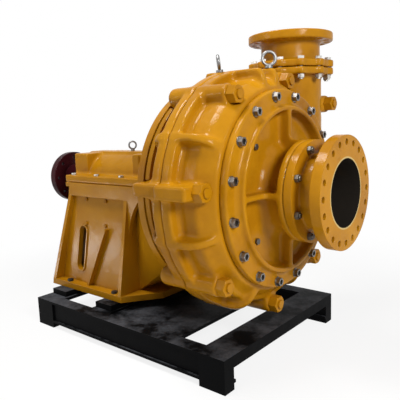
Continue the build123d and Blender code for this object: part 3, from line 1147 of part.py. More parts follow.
def side_slot(margin):
    """The leaning oval in the side panels, grown by a margin all round."""
    with BuildSketch(Plane.XZ) as slot:
        with Locations((SIDE_SLOT_X, SIDE_SLOT_Z)):
            SlotOverall(SIDE_SLOT_HEIGHT + 2 * margin, SIDE_SLOT_WIDTH + 2 * margin, rotation=90 - degrees(lean) / 2)
    return slot.sketch


with BuildPart() as pedestal_panels:
    with BuildSketch(Plane.XZ) as panel_side:
        with BuildLine():
            Polyline(*side_view, close=True)
        make_face()
    extrude(panel_side.sketch, amount=PEDESTAL_BASE_HALF, both=True)
    extrude(panel_layer(PLATE, 0), amount=PEDESTAL_FRONT - PEDESTAL_REAR_FOOT, mode=Mode.INTERSECT)
with BuildPart() as slot_rims:
    extrude(side_slot(SLOT_RIM), amount=PEDESTAL_BASE_HALF, both=True)
    extrude(panel_layer(PLATE / 2, SLOT_RIM_PROUD), amount=PEDESTAL_FRONT - PEDESTAL_REAR_FOOT,
            mode=Mode.INTERSECT)
with BuildPart() as panel_ribs:
    with BuildSketch(Plane.XZ) as rib_strip:
        with BuildLine() as rib_line:
            Line(*PANEL_RIB)
        trace(rib_line.edges(), PANEL_RIB_THICK)
    extrude(rib_strip.sketch, amount=PEDESTAL_BASE_HALF, both=True)
    extrude(panel_layer(PLATE / 2, PANEL_INSET), amount=PEDESTAL_FRONT - PEDESTAL_REAR_FOOT, mode=Mode.INTERSECT)

base_middle = (PEDESTAL_REAR_FOOT + PEDESTAL_FRONT) / 2
base_bolt_places = [(x, side * (PEDESTAL_BASE_HALF - 28)) for x in FOOT_STATIONS for side in (-1, 1)]
panel_top = (0, -top_y, -PANEL_LAP)
panel_slope = (0, top_y - foot_y, base_top)
panel_plane = Plane(panel_top, x_dir=(1, 0, 0), z_dir=Vector(1, 0, 0).cross(Vector(*panel_slope) * -1))
panel_bolt_places = [
    (SIDE_SLOT_X + reach, -drop)
    for reach in (PANEL_BOLT_START, PANEL_BOLT_START + PANEL_BOLT_LENGTH)
    for drop in (PANEL_BOLT_DROP, PANEL_BOLT_DROP + PANEL_BOLT_HEIGHT)
]
with BuildPart() as panel_holes:
    extrude(circles(panel_plane, panel_bolt_places, PANEL_BOLT + 2 * FIT), amount=-2 * PLATE)
    mirror(about=Plane.XZ)
with BuildPart() as pedestal:
    add(pedestal_frame.part)
    add(pedestal_panels.part)
    add(slot_rims.part)
    add(panel_ribs.part)
    with BuildSketch(Plane.XY.offset(PEDESTAL_BOTTOM)) as apron:
        with BuildLine():
            Polyline((PEDESTAL_FRONT, -PEDESTAL_BASE_HALF), (PEDESTAL_FRONT + APRON_REACH, -APRON_HALF),
                     (PEDESTAL_FRONT + APRON_REACH, APRON_HALF), (PEDESTAL_FRONT, PEDESTAL_BASE_HALF), close=True)
        make_face()
    extrude(apron.sketch, amount=BASE_PLATE)
    with BuildSketch(Plane.YZ.offset(PEDESTAL_FRONT)) as funnel_back:
        with Locations((0, base_top / 2)):
            Rectangle(2 * FUNNEL_BACK_HALF, -base_top)
    with BuildSketch(Plane.YZ.offset(FLANGE_REAR)) as funnel_front:
        Circle(FUNNEL_MOUTH / 2)
    loft(sections=[funnel_back.sketch, funnel_front.sketch])
    with BuildSketch(Plane.XY) as funnel_top:
        with Locations((PEDESTAL_FRONT, 0)):
            Rectangle(2 * (FLANGE_REAR - PEDESTAL_FRONT), 2 * FUNNEL_MOUTH)
    extrude(funnel_top.sketch, amount=FUNNEL_MOUTH, mode=Mode.SUBTRACT)
    with BuildSketch(Plane.YZ.offset(PEDESTAL_FRONT)) as core_back:
        with Locations((0, base_top / 2)):
            Rectangle(2 * (FUNNEL_BACK_HALF - FUNNEL_WALL), -base_top - 2 * FUNNEL_WALL)
    with BuildSketch(Plane.YZ.offset(FLANGE_REAR)) as core_front:
        Circle(FUNNEL_MOUTH / 2 - FUNNEL_WALL)
    loft(sections=[core_back.sketch, core_front.sketch], mode=Mode.SUBTRACT)
    extrude(round_disc(FLANGE_REAR, ROUND_FLANGE / 2), amount=ROUND_FLANGE_THICK)
    for side in (-1, 1):
        with BuildSketch(Plane.YZ.offset(PEDESTAL_FRONT - ARM_ROOT)) as arm:
            with Locations((side * (PEDESTAL_TOP_HALF - ARM_WIDTH / 2), (BEAM_RISE - BEAM_DEPTH) / 2)):
                Rectangle(ARM_WIDTH, BEAM_DEPTH + BEAM_RISE)
        extrude(arm.sketch, amount=FLANGE_REAR - PEDESTAL_FRONT + ARM_ROOT)
    arch_foot = (PEDESTAL_FRONT, -GUSSET_DROP)
    arch_top = (PEDESTAL_FRONT + GUSSET_REACH, -BEAM_DEPTH)
    arch_middle = (PEDESTAL_FRONT + 0.35 * GUSSET_REACH, -BEAM_DEPTH - 0.35 * (GUSSET_DROP - BEAM_DEPTH))
    for side in (-1, 1):
        with BuildSketch(Plane.XZ.offset(-side * (PEDESTAL_TOP_HALF - PLATE))) as gusset:
            with BuildLine():
                ThreePointArc(arch_foot, arch_middle, arch_top)
                Polyline(arch_top, (arch_top[0], -BEAM_DEPTH / 2), (PEDESTAL_FRONT - ARM_ROOT, -BEAM_DEPTH / 2),
                         (PEDESTAL_FRONT - ARM_ROOT, -GUSSET_DROP), arch_foot)
            make_face()
        extrude(gusset.sketch, amount=-side * PLATE)
    with BuildSketch(Plane.YZ.offset(HOUSING_REAR)) as saddle:
        Circle(HOUSING_DIAMETER / 2)
        with Locations((0, HOUSING_DIAMETER / 2)):
            Rectangle(HOUSING_DIAMETER, HOUSING_DIAMETER, mode=Mode.SUBTRACT)
        with Locations((0, -PLATE / 2)):
            Rectangle(2 * cap_half, PLATE)
    extrude(saddle.sketch, amount=housing_length)
    with BuildSketch(Plane.YZ.offset(HOUSING_REAR)) as cap_seat:
        with Locations((0, PEDESTAL_TOP_HALF)):
            Rectangle(2 * PEDESTAL_TOP_HALF + 2, 2 * PEDESTAL_TOP_HALF)
    extrude(cap_seat.sketch, amount=housing_length, mode=Mode.SUBTRACT)
    housing_bores()
    extrude(round_disc(FLANGE_FRONT, FRAME_BORE / 2), amount=-ROUND_FLANGE_THICK, mode=Mode.SUBTRACT)
    extrude(circles(Plane.YZ.offset(FLANGE_FRONT), frame_bolt_places, FRAME_BOLT + 2),
            amount=-ROUND_FLANGE_THICK, mode=Mode.SUBTRACT)
    with BuildSketch(Plane.XY.offset(PEDESTAL_BOTTOM)) as base_window:
        with Locations((base_middle, 0)):
            Rectangle(PEDESTAL_FRONT - PEDESTAL_REAR_FOOT - 2 * BASE_WINDOW_MARGIN,
                      2 * (PEDESTAL_BASE_HALF - BASE_WINDOW_SIDE))
    extrude(base_window.sketch, amount=BASE_PLATE, mode=Mode.SUBTRACT)
    extrude(side_slot(0), amount=PEDESTAL_BASE_HALF, both=True, mode=Mode.SUBTRACT)
    extrude(circles(Plane.XY.offset(PEDESTAL_BOTTOM), base_bolt_places, FOOT_BOLT + 2), amount=BASE_PLATE,
            mode=Mode.SUBTRACT)
    add(panel_holes.part, mode=Mode.SUBTRACT)
    extrude(circles(Plane.XY.offset(-pad_top), [(VENT_X, 0)], DRAIN_PAD), amount=2 * PAD_RISE)
    extrude(circles(Plane.XY, cap_bolt_places, CAP_BOLT + 2 * FIT), amount=-CAP_BOLT_DEPTH - CAP_BOLT_RELIEF,
            mode=Mode.SUBTRACT)
finish(pedestal.part, "pedestal")

# Screws in the panels, and the plug that drains the oil
with BuildPart() as panel_bolts:
    extrude(circles(panel_plane, panel_bolt_places, PANEL_BOLT), amount=-PLATE)
    extrude(hexes(panel_plane, panel_bolt_places, PANEL_BOLT_HEAD), amount=PANEL_BOLT * HEAD_RATIO)
    mirror(about=Plane.XZ)
finish(panel_bolts.part, "panel_bolts")
with BuildPart() as drain_plug:
    extrude(hexes(Plane.XY.offset(-pad_top), [(VENT_X, 0)], DRAIN_PLUG), amount=-DRAIN_PLUG_HEIGHT)
finish(drain_plug.part, "drain_plug")

# Bolts that hold the pedestal's flange to the casing, and the pedestal to the skid
with BuildPart() as frame_bolts:
    extrude(circles(Plane.YZ.offset(FLANGE_REAR), frame_bolt_places, FRAME_BOLT),
            amount=CASING_REAR - FLANGE_REAR + SHOULDER_DEPTH - 8)
    extrude(hexes(Plane.YZ.offset(FLANGE_REAR), frame_bolt_places, FRAME_BOLT_HEAD), amount=-FRAME_BOLT * HEAD_RATIO)
finish(frame_bolts.part, "frame_bolts")
block_height = PEDESTAL_BOTTOM - SKID_TOP
block_middle = PEDESTAL_BASE_HALF + BLOCK_OVERHANG - BLOCK_WIDTH / 2
with BuildPart() as packing_blocks:
    with BuildSketch(Plane.XY.offset(SKID_TOP)):
        for x in FOOT_STATIONS:
            for side in (-1, 1):
                with Locations((x, side * block_middle)):
                    Rectangle(BLOCK_LENGTH, BLOCK_WIDTH)
        with Locations(*base_bolt_places):
            Circle(FOOT_BOLT / 2 + 1, mode=Mode.SUBTRACT)
    extrude(amount=block_height)
finish(packing_blocks.part, "packing_blocks")
deck_bottom = SKID_TOP - DECK_THICK
foot_nut_depth = FOOT_BOLT * NUT_RATIO
foot_bolt_end = deck_bottom - foot_nut_depth - THREAD_END
with BuildPart() as pedestal_bolts:
    extrude(circles(Plane.XY.offset(foot_bolt_end), base_bolt_places, FOOT_BOLT), amount=base_top - foot_bolt_end)
    extrude(hexes(Plane.XY.offset(base_top), base_bolt_places, FOOT_BOLT_HEAD), amount=FOOT_BOLT * HEAD_RATIO)
finish(pedestal_bolts.part, "pedestal_bolts")
with BuildPart() as pedestal_nuts:
    extrude(hexes(Plane.XY.offset(deck_bottom), base_bolt_places, FOOT_BOLT_HEAD, FOOT_BOLT + 2 * FIT),
            amount=-foot_nut_depth)
finish(pedestal_nuts.part, "pedestal_nuts")

# Skid: two channel rails on legs, joined by deck plates; the end plates have a web turned down
rail_middle = SKID_HALF - SKID_RAIL / 2
rail_depth = SKID_HEIGHT - SKID_FOOT
web_middle = SKID_HALF - SKID_SET_BACK - SKID_WEB / 2
front_foot = FOOT_STATIONS[1] + FOOT_PLATE / 2
deck_plates = [
    (SKID_REAR, SKID_REAR + END_PLATE, SKID_TOP, DECK_THICK),
    (front_foot - FOOT_PLATE, front_foot, SKID_TOP, DECK_THICK),
    (front_foot, TRAY_FRONT, SKID_TOP - TRAY_DROP, TRAY_THICK),
    (TRAY_FRONT, CROSS_FRONT, SKID_TOP, DECK_THICK),
    (SKID_FRONT - END_PLATE, SKID_FRONT, SKID_TOP, DECK_THICK),
    (SKID_REAR, SKID_REAR + END_WEB, SKID_TOP, END_WEB_HEIGHT),
    (SKID_FRONT - END_WEB, SKID_FRONT, SKID_TOP, END_WEB_HEIGHT),
]
with BuildPart() as skid_frame:
    with BuildSketch(Plane.YZ.offset(SKID_REAR)) as rails:
        for side in (-1, 1):
            for z in (SKID_TOP - SKID_FLANGE / 2, SKID_TOP - rail_depth + SKID_FLANGE / 2):
                with Locations((side * rail_middle, z)):
                    Rectangle(SKID_RAIL, SKID_FLANGE)
            with Locations((side * web_middle, SKID_TOP - rail_depth / 2)):
                Rectangle(SKID_WEB, rail_depth)
    extrude(rails.sketch, amount=SKID_FRONT - SKID_REAR)
    with BuildSketch(Plane.XY.offset(SKID_BOTTOM)) as legs:
        for x in (SKID_REAR + SKID_LEG / 2, SKID_FRONT - SKID_LEG / 2):
            for side in (-1, 1):
                with Locations((x, side * (SKID_HALF - SKID_LEG_WIDTH / 2))):
                    Rectangle(SKID_LEG, SKID_LEG_WIDTH)
    extrude(legs.sketch, amount=SKID_HEIGHT)
    with BuildSketch(Plane.XZ) as deck:
        for rear, front, top, thick in deck_plates:
            with Locations(((rear + front) / 2, top - thick / 2)):
                Rectangle(front - rear, thick)
    extrude(deck.sketch, amount=web_middle, both=True)
    extrude(circles(Plane.XY.offset(SKID_TOP), base_bolt_places, FOOT_BOLT + 2), amount=-DECK_THICK,
            mode=Mode.SUBTRACT)
finish(skid_frame.part, "skid_frame")
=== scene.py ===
import json
import math

import bmesh
import bpy
from mathutils import Matrix, Vector

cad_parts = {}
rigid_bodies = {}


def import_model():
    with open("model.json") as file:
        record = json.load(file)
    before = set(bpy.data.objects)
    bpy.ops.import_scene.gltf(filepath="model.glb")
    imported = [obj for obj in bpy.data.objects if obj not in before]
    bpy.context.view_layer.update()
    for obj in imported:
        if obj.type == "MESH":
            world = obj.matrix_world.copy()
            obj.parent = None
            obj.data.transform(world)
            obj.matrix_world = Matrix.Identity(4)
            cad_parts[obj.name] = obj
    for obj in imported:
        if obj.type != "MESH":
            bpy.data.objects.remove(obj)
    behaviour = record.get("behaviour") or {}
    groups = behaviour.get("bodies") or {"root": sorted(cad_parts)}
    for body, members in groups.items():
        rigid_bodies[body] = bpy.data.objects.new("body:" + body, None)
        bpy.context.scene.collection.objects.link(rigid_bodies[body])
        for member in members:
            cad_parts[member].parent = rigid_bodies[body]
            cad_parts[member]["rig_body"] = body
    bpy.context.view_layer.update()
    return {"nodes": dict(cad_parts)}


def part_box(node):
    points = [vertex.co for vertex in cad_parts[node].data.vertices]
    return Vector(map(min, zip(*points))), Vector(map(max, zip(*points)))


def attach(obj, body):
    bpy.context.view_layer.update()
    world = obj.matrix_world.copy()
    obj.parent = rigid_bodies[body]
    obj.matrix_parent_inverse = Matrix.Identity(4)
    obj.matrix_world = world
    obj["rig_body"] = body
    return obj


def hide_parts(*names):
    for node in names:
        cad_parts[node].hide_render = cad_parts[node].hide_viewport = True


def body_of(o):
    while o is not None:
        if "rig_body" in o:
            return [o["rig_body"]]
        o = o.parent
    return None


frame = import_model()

nodes = frame["nodes"]
scene = bpy.context.scene
scene.view_settings.view_transform = "Standard"

# Camera: it stands before the suction flange, a little to the near side,
# and looks slightly down on the pump from about chest height.
CAMERA_PLACE = Vector((1.03361, -2.36521, 0.36945))
CAMERA_TURN = math.radians(40.1734)
CAMERA_DIP = math.radians(8.6599)
CAMERA_ROLL = math.radians(-2.1043)
CAMERA_LENS = 44.835
SENSOR_WIDTH = 36.0
FAR_LIMIT = 60.0
back = Vector((
    math.sin(CAMERA_TURN) * math.cos(CAMERA_DIP),
    -math.cos(CAMERA_TURN) * math.cos(CAMERA_DIP),
    math.sin(CAMERA_DIP),
))
level = Vector((math.cos(CAMERA_TURN), math.sin(CAMERA_TURN), 0.0))
upright = back.cross(level)
right = level * math.cos(CAMERA_ROLL) + upright * math.sin(CAMERA_ROLL)
above = upright * math.cos(CAMERA_ROLL) - level * math.sin(CAMERA_ROLL)
camera_data = bpy.data.cameras.new("camera")
camera_data.lens = CAMERA_LENS
camera_data.sensor_width = SENSOR_WIDTH
camera_data.clip_end = FAR_LIMIT
camera = bpy.data.objects.new("camera", camera_data)
turned = Matrix((right, above, back)).transposed().to_4x4()
camera.matrix_world = Matrix.Translation(CAMERA_PLACE) @ turned
scene.collection.objects.link(camera)
scene.camera = camera

# Studio floor: a white floor that carries the skid. It keeps the pump's shadow close by and turns
# as white as the surround further off.
FLOOR_SIZE = 60.0
FLOOR_GAP = 0.001
FLOOR_ROUGHNESS = 0.9
FLOOR_WHITE = (0.90, 0.90, 0.90, 1)
GLOW_NEAR = 0.84
GLOW_START = 1.3
GLOW_FULL = 3.2
skid_low, skid_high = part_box("skid_frame")
skid_middle = (skid_low + skid_high) / 2


def new_material(name):
    """A node material and its parts: material, node tree, shader and output."""
    material = bpy.data.materials.new(name)
    material.use_nodes = True
    tree = material.node_tree
    tree.nodes.clear()
    output = tree.nodes.new("ShaderNodeOutputMaterial")
    shader = tree.nodes.new("ShaderNodeBsdfPrincipled")
    tree.links.new(shader.outputs["BSDF"], output.inputs["Surface"])
    return material, tree, shader, output


def seen_directly(tree):
    """One where a camera, mirror or glass ray looks at it, zero where its light falls on other things."""
    rays = tree.nodes.new("ShaderNodeLightPath")
    total = rays.outputs["Is Camera Ray"]
    for ray in ("Is Glossy Ray", "Is Transmission Ray"):
        both = tree.nodes.new("ShaderNodeMath")
        both.operation = "ADD"
        both.use_clamp = True
        tree.links.new(total, both.inputs[0])
        tree.links.new(rays.outputs[ray], both.inputs[1])
        total = both.outputs["Value"]
    return total


floor_mesh = bpy.data.meshes.new("floor")
form = bmesh.new()
bmesh.ops.create_grid(form, x_segments=1, y_segments=1, size=FLOOR_SIZE / 2)
bmesh.ops.translate(form, verts=form.verts, vec=(0, 0, skid_low.z - FLOOR_GAP))
form.to_mesh(floor_mesh)
form.free()
floor = bpy.data.objects.new("floor", floor_mesh)
scene.collection.objects.link(floor)
floor_paint, tree, shader, output = new_material("floor_white")
shader.inputs["Base Color"].default_value = FLOOR_WHITE
shader.inputs["Roughness"].default_value = FLOOR_ROUGHNESS
glow = tree.nodes.new("ShaderNodeEmission")
glow.inputs["Color"].default_value = (1, 1, 1, 1)
place = tree.nodes.new("ShaderNodeTexCoord")
reach = tree.nodes.new("ShaderNodeVectorMath")
reach.operation = "DISTANCE"
reach.inputs[1].default_value = (skid_middle.x, skid_middle.y, skid_low.z)
tree.links.new(place.outputs["Object"], reach.inputs[0])
spread = tree.nodes.new("ShaderNodeMapRange")
spread.interpolation_type = "SMOOTHSTEP"
spread.inputs["From Min"].default_value = GLOW_START
spread.inputs["From Max"].default_value = GLOW_FULL
spread.inputs["To Min"].default_value = GLOW_NEAR
spread.inputs["To Max"].default_value = 1.0
tree.links.new(reach.outputs["Value"], spread.inputs["Value"])
shown = tree.nodes.new("ShaderNodeMath")
shown.operation = "MULTIPLY"
tree.links.new(spread.outputs["Result"], shown.inputs[0])
tree.links.new(seen_directly(tree), shown.inputs[1])
blend = tree.nodes.new("ShaderNodeMixShader")
tree.links.new(shown.outputs["Value"], blend.inputs[0])
tree.links.new(shader.outputs["BSDF"], blend.inputs[1])
tree.links.new(glow.outputs["Emission"], blend.inputs[2])
tree.links.new(blend.outputs[0], output.inputs["Surface"])
floor_mesh.materials.append(floor_paint)

# Surround: white behind the pump, and a soft even fill from it on every side.
FILL_COLOUR = (0.93, 0.96, 1.0, 1)
FILL_STRENGTH = 0.11
world = bpy.data.worlds.new("surround")
scene.world = world
world.use_nodes = True
tree = world.node_tree
tree.nodes.clear()
world_output = tree.nodes.new("ShaderNodeOutputWorld")
fill = tree.nodes.new("ShaderNodeBackground")
fill.inputs["Color"].default_value = FILL_COLOUR
fill.inputs["Strength"].default_value = FILL_STRENGTH
white = tree.nodes.new("ShaderNodeBackground")
white.inputs["Color"].default_value = (1, 1, 1, 1)
white.inputs["Strength"].default_value = 1.0
choose = tree.nodes.new("ShaderNodeMixShader")
tree.links.new(seen_directly(tree), choose.inputs[0])
tree.links.new(fill.outputs[0], choose.inputs[1])
tree.links.new(white.outputs[0], choose.inputs[2])
tree.links.new(choose.outputs[0], world_output.inputs["Surface"])


# Lamps: soft boxes above the suction side, over the bearing pedestal and low on the near side,
# where a hall has its windows.
def lamp(name, place, target, width, height, power, colour):
    """A soft rectangular lamp that shines from a place at a target."""
    data = bpy.data.lights.new(name, "AREA")
    data.shape = "RECTANGLE"
    data.size = width
    data.size_y = height
    data.energy = power
    data.color = colour
    piece = bpy.data.objects.new(name, data)
    piece.location = place
    piece.rotation_euler = (Vector(target) - Vector(place)).to_track_quat("-Z", "Y").to_euler()
    scene.collection.objects.link(piece)


lamp("key_lamp", place=(3.3, -1.5, 2.0), target=(-0.4, 0.0, 0.0), width=1.5, height=1.1,
     power=185, colour=(1.0, 0.98, 0.95))
lamp("top_lamp", place=(-1.5, -1.1, 3.9), target=(-0.9, 0.0, 0.0), width=2.0, height=1.0,
     power=170, colour=(1.0, 0.99, 0.97))
lamp("side_lamp", place=(-3.6, -4.2, 1.6), target=(-1.2, 0.0, -0.2), width=0.8, height=0.8,
     power=16, colour=(1.0, 0.98, 0.96))
lamp("low_window", place=(-4.0, -2.2, -0.78), target=(-1.75, -0.3, -0.60), width=1.0, height=0.24,
     power=14, colour=(1.0, 0.99, 0.97))

# Skid: rolled steel rails on four legs with plates welded across, brushed with satin black and grey with
# workshop dust on what lies flat. The packing blocks under the pedestal's feet are painted alike.
SKID_BLACK = (0.0022, 0.0023, 0.0026, 1)
SKID_DUST = (0.075, 0.078, 0.088, 1)
skid_paint, tree, shader, _ = new_material("skid_black")
place = tree.nodes.new("ShaderNodeTexCoord")
facing = tree.nodes.new("ShaderNodeNewGeometry")
tilt = tree.nodes.new("ShaderNodeSeparateXYZ")
tree.links.new(facing.outputs["Normal"], tilt.inputs["Vector"])
flat = tree.nodes.new("ShaderNodeMapRange")
flat.inputs["From Min"].default_value = 0.6
flat.inputs["From Max"].default_value = 1.0
tree.links.new(tilt.outputs["Z"], flat.inputs["Value"])
patches = tree.nodes.new("ShaderNodeTexNoise")
patches.inputs["Scale"].default_value = 5.0
patches.inputs["Detail"].default_value = 8.0
patches.inputs["Roughness"].default_value = 0.72
tree.links.new(place.outputs["Object"], patches.inputs["Vector"])
settled = tree.nodes.new("ShaderNodeMapRange")
settled.inputs["From Min"].default_value = 0.40
settled.inputs["From Max"].default_value = 0.66
tree.links.new(patches.outputs["Fac"], settled.inputs["Value"])
dusty = tree.nodes.new("ShaderNodeMath")
dusty.operation = "MULTIPLY"
tree.links.new(flat.outputs["Result"], dusty.inputs[0])
tree.links.new(settled.outputs["Result"], dusty.inputs[1])
paint = tree.nodes.new("ShaderNodeMix")
paint.data_type = "RGBA"
paint.inputs["A"].default_value = SKID_BLACK
paint.inputs["B"].default_value = SKID_DUST
tree.links.new(dusty.outputs["Value"], paint.inputs["Factor"])
tree.links.new(paint.outputs["Result"], shader.inputs["Base Color"])
dull = tree.nodes.new("ShaderNodeMapRange")
dull.inputs["To Min"].default_value = 0.34
dull.inputs["To Max"].default_value = 0.72
tree.links.new(patches.outputs["Fac"], dull.inputs["Value"])
tree.links.new(dull.outputs["Result"], shader.inputs["Roughness"])
grain = tree.nodes.new("ShaderNodeBump")
grain.inputs["Distance"].default_value = 0.0012
tree.links.new(patches.outputs["Fac"], grain.inputs["Height"])
tree.links.new(grain.outputs["Normal"], shader.inputs["Normal"])
shader.inputs["Specular IOR Level"].default_value = 0.03


def dress(material, *names):
    """Puts one material on every slot of these CAD nodes."""
    for name in names:
        mesh = nodes[name].data
        mesh.materials.clear()
        mesh.materials.append(material)


dress(skid_paint, "skid_frame", "packing_blocks")

# Pedestal: steel plates welded round a cast saddle, bolted down through its base and carrying the casing
# on its round flange. It is sprayed with a glossy golden ochre enamel that is a little clouded and has
# an orange-peel skin.
OCHRE = (0.405, 0.176, 0.004)
OCHRE_DEEP = (0.31, 0.124, 0.0025)
OCHRE_PALE = (0.48, 0.219, 0.008)
GLOSS_RISE = 0.07
GLOSS_FALL = 0.10
WAVE_SCALE = 11.0
EDGE_SAMPLES = 6
ENAMEL_SPECULAR = 0.02
COAT_ROUGHNESS = 0.10


def enamel(name, colours, cloud_scale, peel_scale, peel_depth, wave_depth, roughness,
           edge_radius=0.0, coat=0.18):
    """Glossy paint over metal, with clouded colour, an orange-peel skin, casting waves and soft edges."""
    material, tree, shader, _ = new_material(name)
    deep, middle, pale = colours
    place = tree.nodes.new("ShaderNodeTexCoord")
    cloud = tree.nodes.new("ShaderNodeTexNoise")
    cloud.inputs["Scale"].default_value = cloud_scale
    cloud.inputs["Detail"].default_value = 6.0
    cloud.inputs["Roughness"].default_value = 0.6
    tree.links.new(place.outputs["Object"], cloud.inputs["Vector"])
    tint = tree.nodes.new("ShaderNodeValToRGB")
    tint.color_ramp.elements[0].position = 0.30
    tint.color_ramp.elements[0].color = (*deep, 1)
    tint.color_ramp.elements[1].position = 0.72
    tint.color_ramp.elements[1].color = (*pale, 1)
    middle_stop = tint.color_ramp.elements.new(0.5)
    middle_stop.color = (*middle, 1)
    tree.links.new(cloud.outputs["Fac"], tint.inputs["Fac"])
    tree.links.new(tint.outputs["Color"], shader.inputs["Base Color"])

    gloss = tree.nodes.new("ShaderNodeMapRange")
    gloss.inputs["To Min"].default_value = roughness - GLOSS_RISE
    gloss.inputs["To Max"].default_value = roughness + GLOSS_FALL
    tree.links.new(cloud.outputs["Fac"], gloss.inputs["Value"])
    tree.links.new(gloss.outputs["Result"], shader.inputs["Roughness"])

    peel = tree.nodes.new("ShaderNodeTexNoise")
    peel.inputs["Scale"].default_value = peel_scale
    peel.inputs["Detail"].default_value = 3.0
    tree.links.new(place.outputs["Object"], peel.inputs["Vector"])
    wave = tree.nodes.new("ShaderNodeTexNoise")
    wave.inputs["Scale"].default_value = WAVE_SCALE
    wave.inputs["Detail"].default_value = 2.0
    tree.links.new(place.outputs["Object"], wave.inputs["Vector"])
    skin = tree.nodes.new("ShaderNodeBump")
    skin.inputs["Distance"].default_value = peel_depth
    skin.inputs["Strength"].default_value = 1.0
    tree.links.new(peel.outputs["Fac"], skin.inputs["Height"])
    if edge_radius:
        soft_edge = tree.nodes.new("ShaderNodeBevel")
        soft_edge.samples = EDGE_SAMPLES
        soft_edge.inputs["Radius"].default_value = edge_radius
        tree.links.new(soft_edge.outputs["Normal"], skin.inputs["Normal"])
    swell = tree.nodes.new("ShaderNodeBump")
    swell.inputs["Distance"].default_value = wave_depth
    swell.inputs["Strength"].default_value = 1.0
    tree.links.new(wave.outputs["Fac"], swell.inputs["Height"])
    tree.links.new(skin.outputs["Normal"], swell.inputs["Normal"])
    tree.links.new(swell.outputs["Normal"], shader.inputs["Normal"])
    tree.links.new(swell.outputs["Normal"], shader.inputs["Coat Normal"])
    shader.inputs["Specular IOR Level"].default_value = ENAMEL_SPECULAR
    shader.inputs["Coat Weight"].default_value = coat
    shader.inputs["Coat Roughness"].default_value = COAT_ROUGHNESS
    return material


ochre = (OCHRE_DEEP, OCHRE, OCHRE_PALE)
plate_enamel = enamel("plate_enamel", ochre, cloud_scale=1.6, peel_scale=200.0, peel_depth=0.0006,
                      wave_depth=0.002, roughness=0.22, edge_radius=0.004, coat=0.25)
dress(plate_enamel, "pedestal")

# Screws and bolts of the pedestal: turned and rolled steel. The panel screws went under the paint with
# it, while the bolts through its base and those of its round flange were fitted later and are
# black-oxide steel.
STEEL_EDGE = 0.002
STEEL_RUBBED = 0.1
STEEL_DULLED = 0.15
STAIN_SHADE = 0.5
screw_enamel = enamel("screw_enamel", (OCHRE_DEEP, OCHRE_DEEP, OCHRE), cloud_scale=9.0, peel_scale=240.0,
                      peel_depth=0.0003, wave_depth=0.001, roughness=0.3, edge_radius=0.002)


def steel(name, colour, roughness, stain_scale, metallic=1.0):
    """Bare, plated or blackened steel with faint stains."""
    material, tree, shader, _ = new_material(name)
    place = tree.nodes.new("ShaderNodeTexCoord")
    stain = tree.nodes.new("ShaderNodeTexNoise")
    stain.inputs["Scale"].default_value = stain_scale
    stain.inputs["Detail"].default_value = 5.0
    tree.links.new(place.outputs["Object"], stain.inputs["Vector"])
    shade = tree.nodes.new("ShaderNodeMix")
    shade.data_type = "RGBA"
    shade.inputs["A"].default_value = (*[value * STAIN_SHADE for value in colour], 1)
    shade.inputs["B"].default_value = (*colour, 1)
    tree.links.new(stain.outputs["Fac"], shade.inputs["Factor"])
    tree.links.new(shade.outputs["Result"], shader.inputs["Base Color"])
    rub = tree.nodes.new("ShaderNodeMapRange")
    rub.inputs["To Min"].default_value = roughness - STEEL_RUBBED
    rub.inputs["To Max"].default_value = roughness + STEEL_DULLED
    tree.links.new(stain.outputs["Fac"], rub.inputs["Value"])
    tree.links.new(rub.outputs["Result"], shader.inputs["Roughness"])
    soft_edge = tree.nodes.new("ShaderNodeBevel")
    soft_edge.samples = EDGE_SAMPLES
    soft_edge.inputs["Radius"].default_value = STEEL_EDGE
    tree.links.new(soft_edge.outputs["Normal"], shader.inputs["Normal"])
    shader.inputs["Metallic"].default_value = metallic
    return material


black_oxide = steel("black_oxide", (0.012, 0.011, 0.010), roughness=0.45, stain_scale=30.0, metallic=0.3)
dress(screw_enamel, "panel_bolts")
dress(black_oxide, "pedestal_bolts", "pedestal_nuts", "frame_bolts")

# Bearing cap and end covers: grey iron castings under the same enamel, the covers turned. Zinc-plated
# bolts hold the cap down on the pedestal's saddle. A turned breather and a forged eye, left grey,
# are screwed into its spine.
WELD_REACH = 0.00002
RUB_FORCE = 0.5
RUB_PASSES = 2


def soft_casting(node, material, grain, fillet):
    """A casting with its fillets: swelled and shrunk back, so that its inner corners stay rounded."""
    mesh = nodes[node].data.copy()
    mesh.name = f"{node}_cast"
    form = bmesh.new()
    form.from_mesh(mesh)
    bmesh.ops.remove_doubles(form, verts=form.verts, dist=WELD_REACH)
    form.to_mesh(mesh)
    form.free()
    piece = bpy.data.objects.new(mesh.name, mesh)
    scene.collection.objects.link(piece)
    for step, swell in (("swell", fillet), ("shrink", -fillet), ("settle", 0.0)):
        skin = piece.modifiers.new(f"{step}_skin", "REMESH")
        skin.mode = "VOXEL"
        skin.voxel_size = grain
        skin.use_smooth_shade = True
        if swell:
            move = piece.modifiers.new(step, "DISPLACE")
            move.mid_level = 0.0
            move.strength = swell
    rub = piece.modifiers.new("rub", "SMOOTH")
    rub.factor = RUB_FORCE
    rub.iterations = RUB_PASSES
    mesh.materials.clear()
    mesh.materials.append(material)
    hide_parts(node)
    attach(piece, body_of(nodes[node])[0])


housing_enamel = enamel("housing_enamel", ochre, cloud_scale=2.2, peel_scale=160.0, peel_depth=0.0006,
                        wave_depth=0.005, roughness=0.28)
turned_enamel = enamel("turned_enamel", ochre, cloud_scale=2.2, peel_scale=200.0, peel_depth=0.0004,
                       wave_depth=0.003, roughness=0.26, edge_radius=0.006)
soft_casting("bearing_cap", housing_enamel, grain=0.006, fillet=0.008)
dress(turned_enamel, "pump_end_cover", "drive_end_cover", "end_cover_screws")
zinc = steel("zinc_plate", (0.60, 0.58, 0.54), roughness=0.34, stain_scale=45.0)
eye_steel = steel("eye_steel", (0.30, 0.30, 0.30), roughness=0.36, stain_scale=30.0)
dress(zinc, "cap_bolts", "breather", "drain_plug")
dress(eye_steel, "housing_eye")

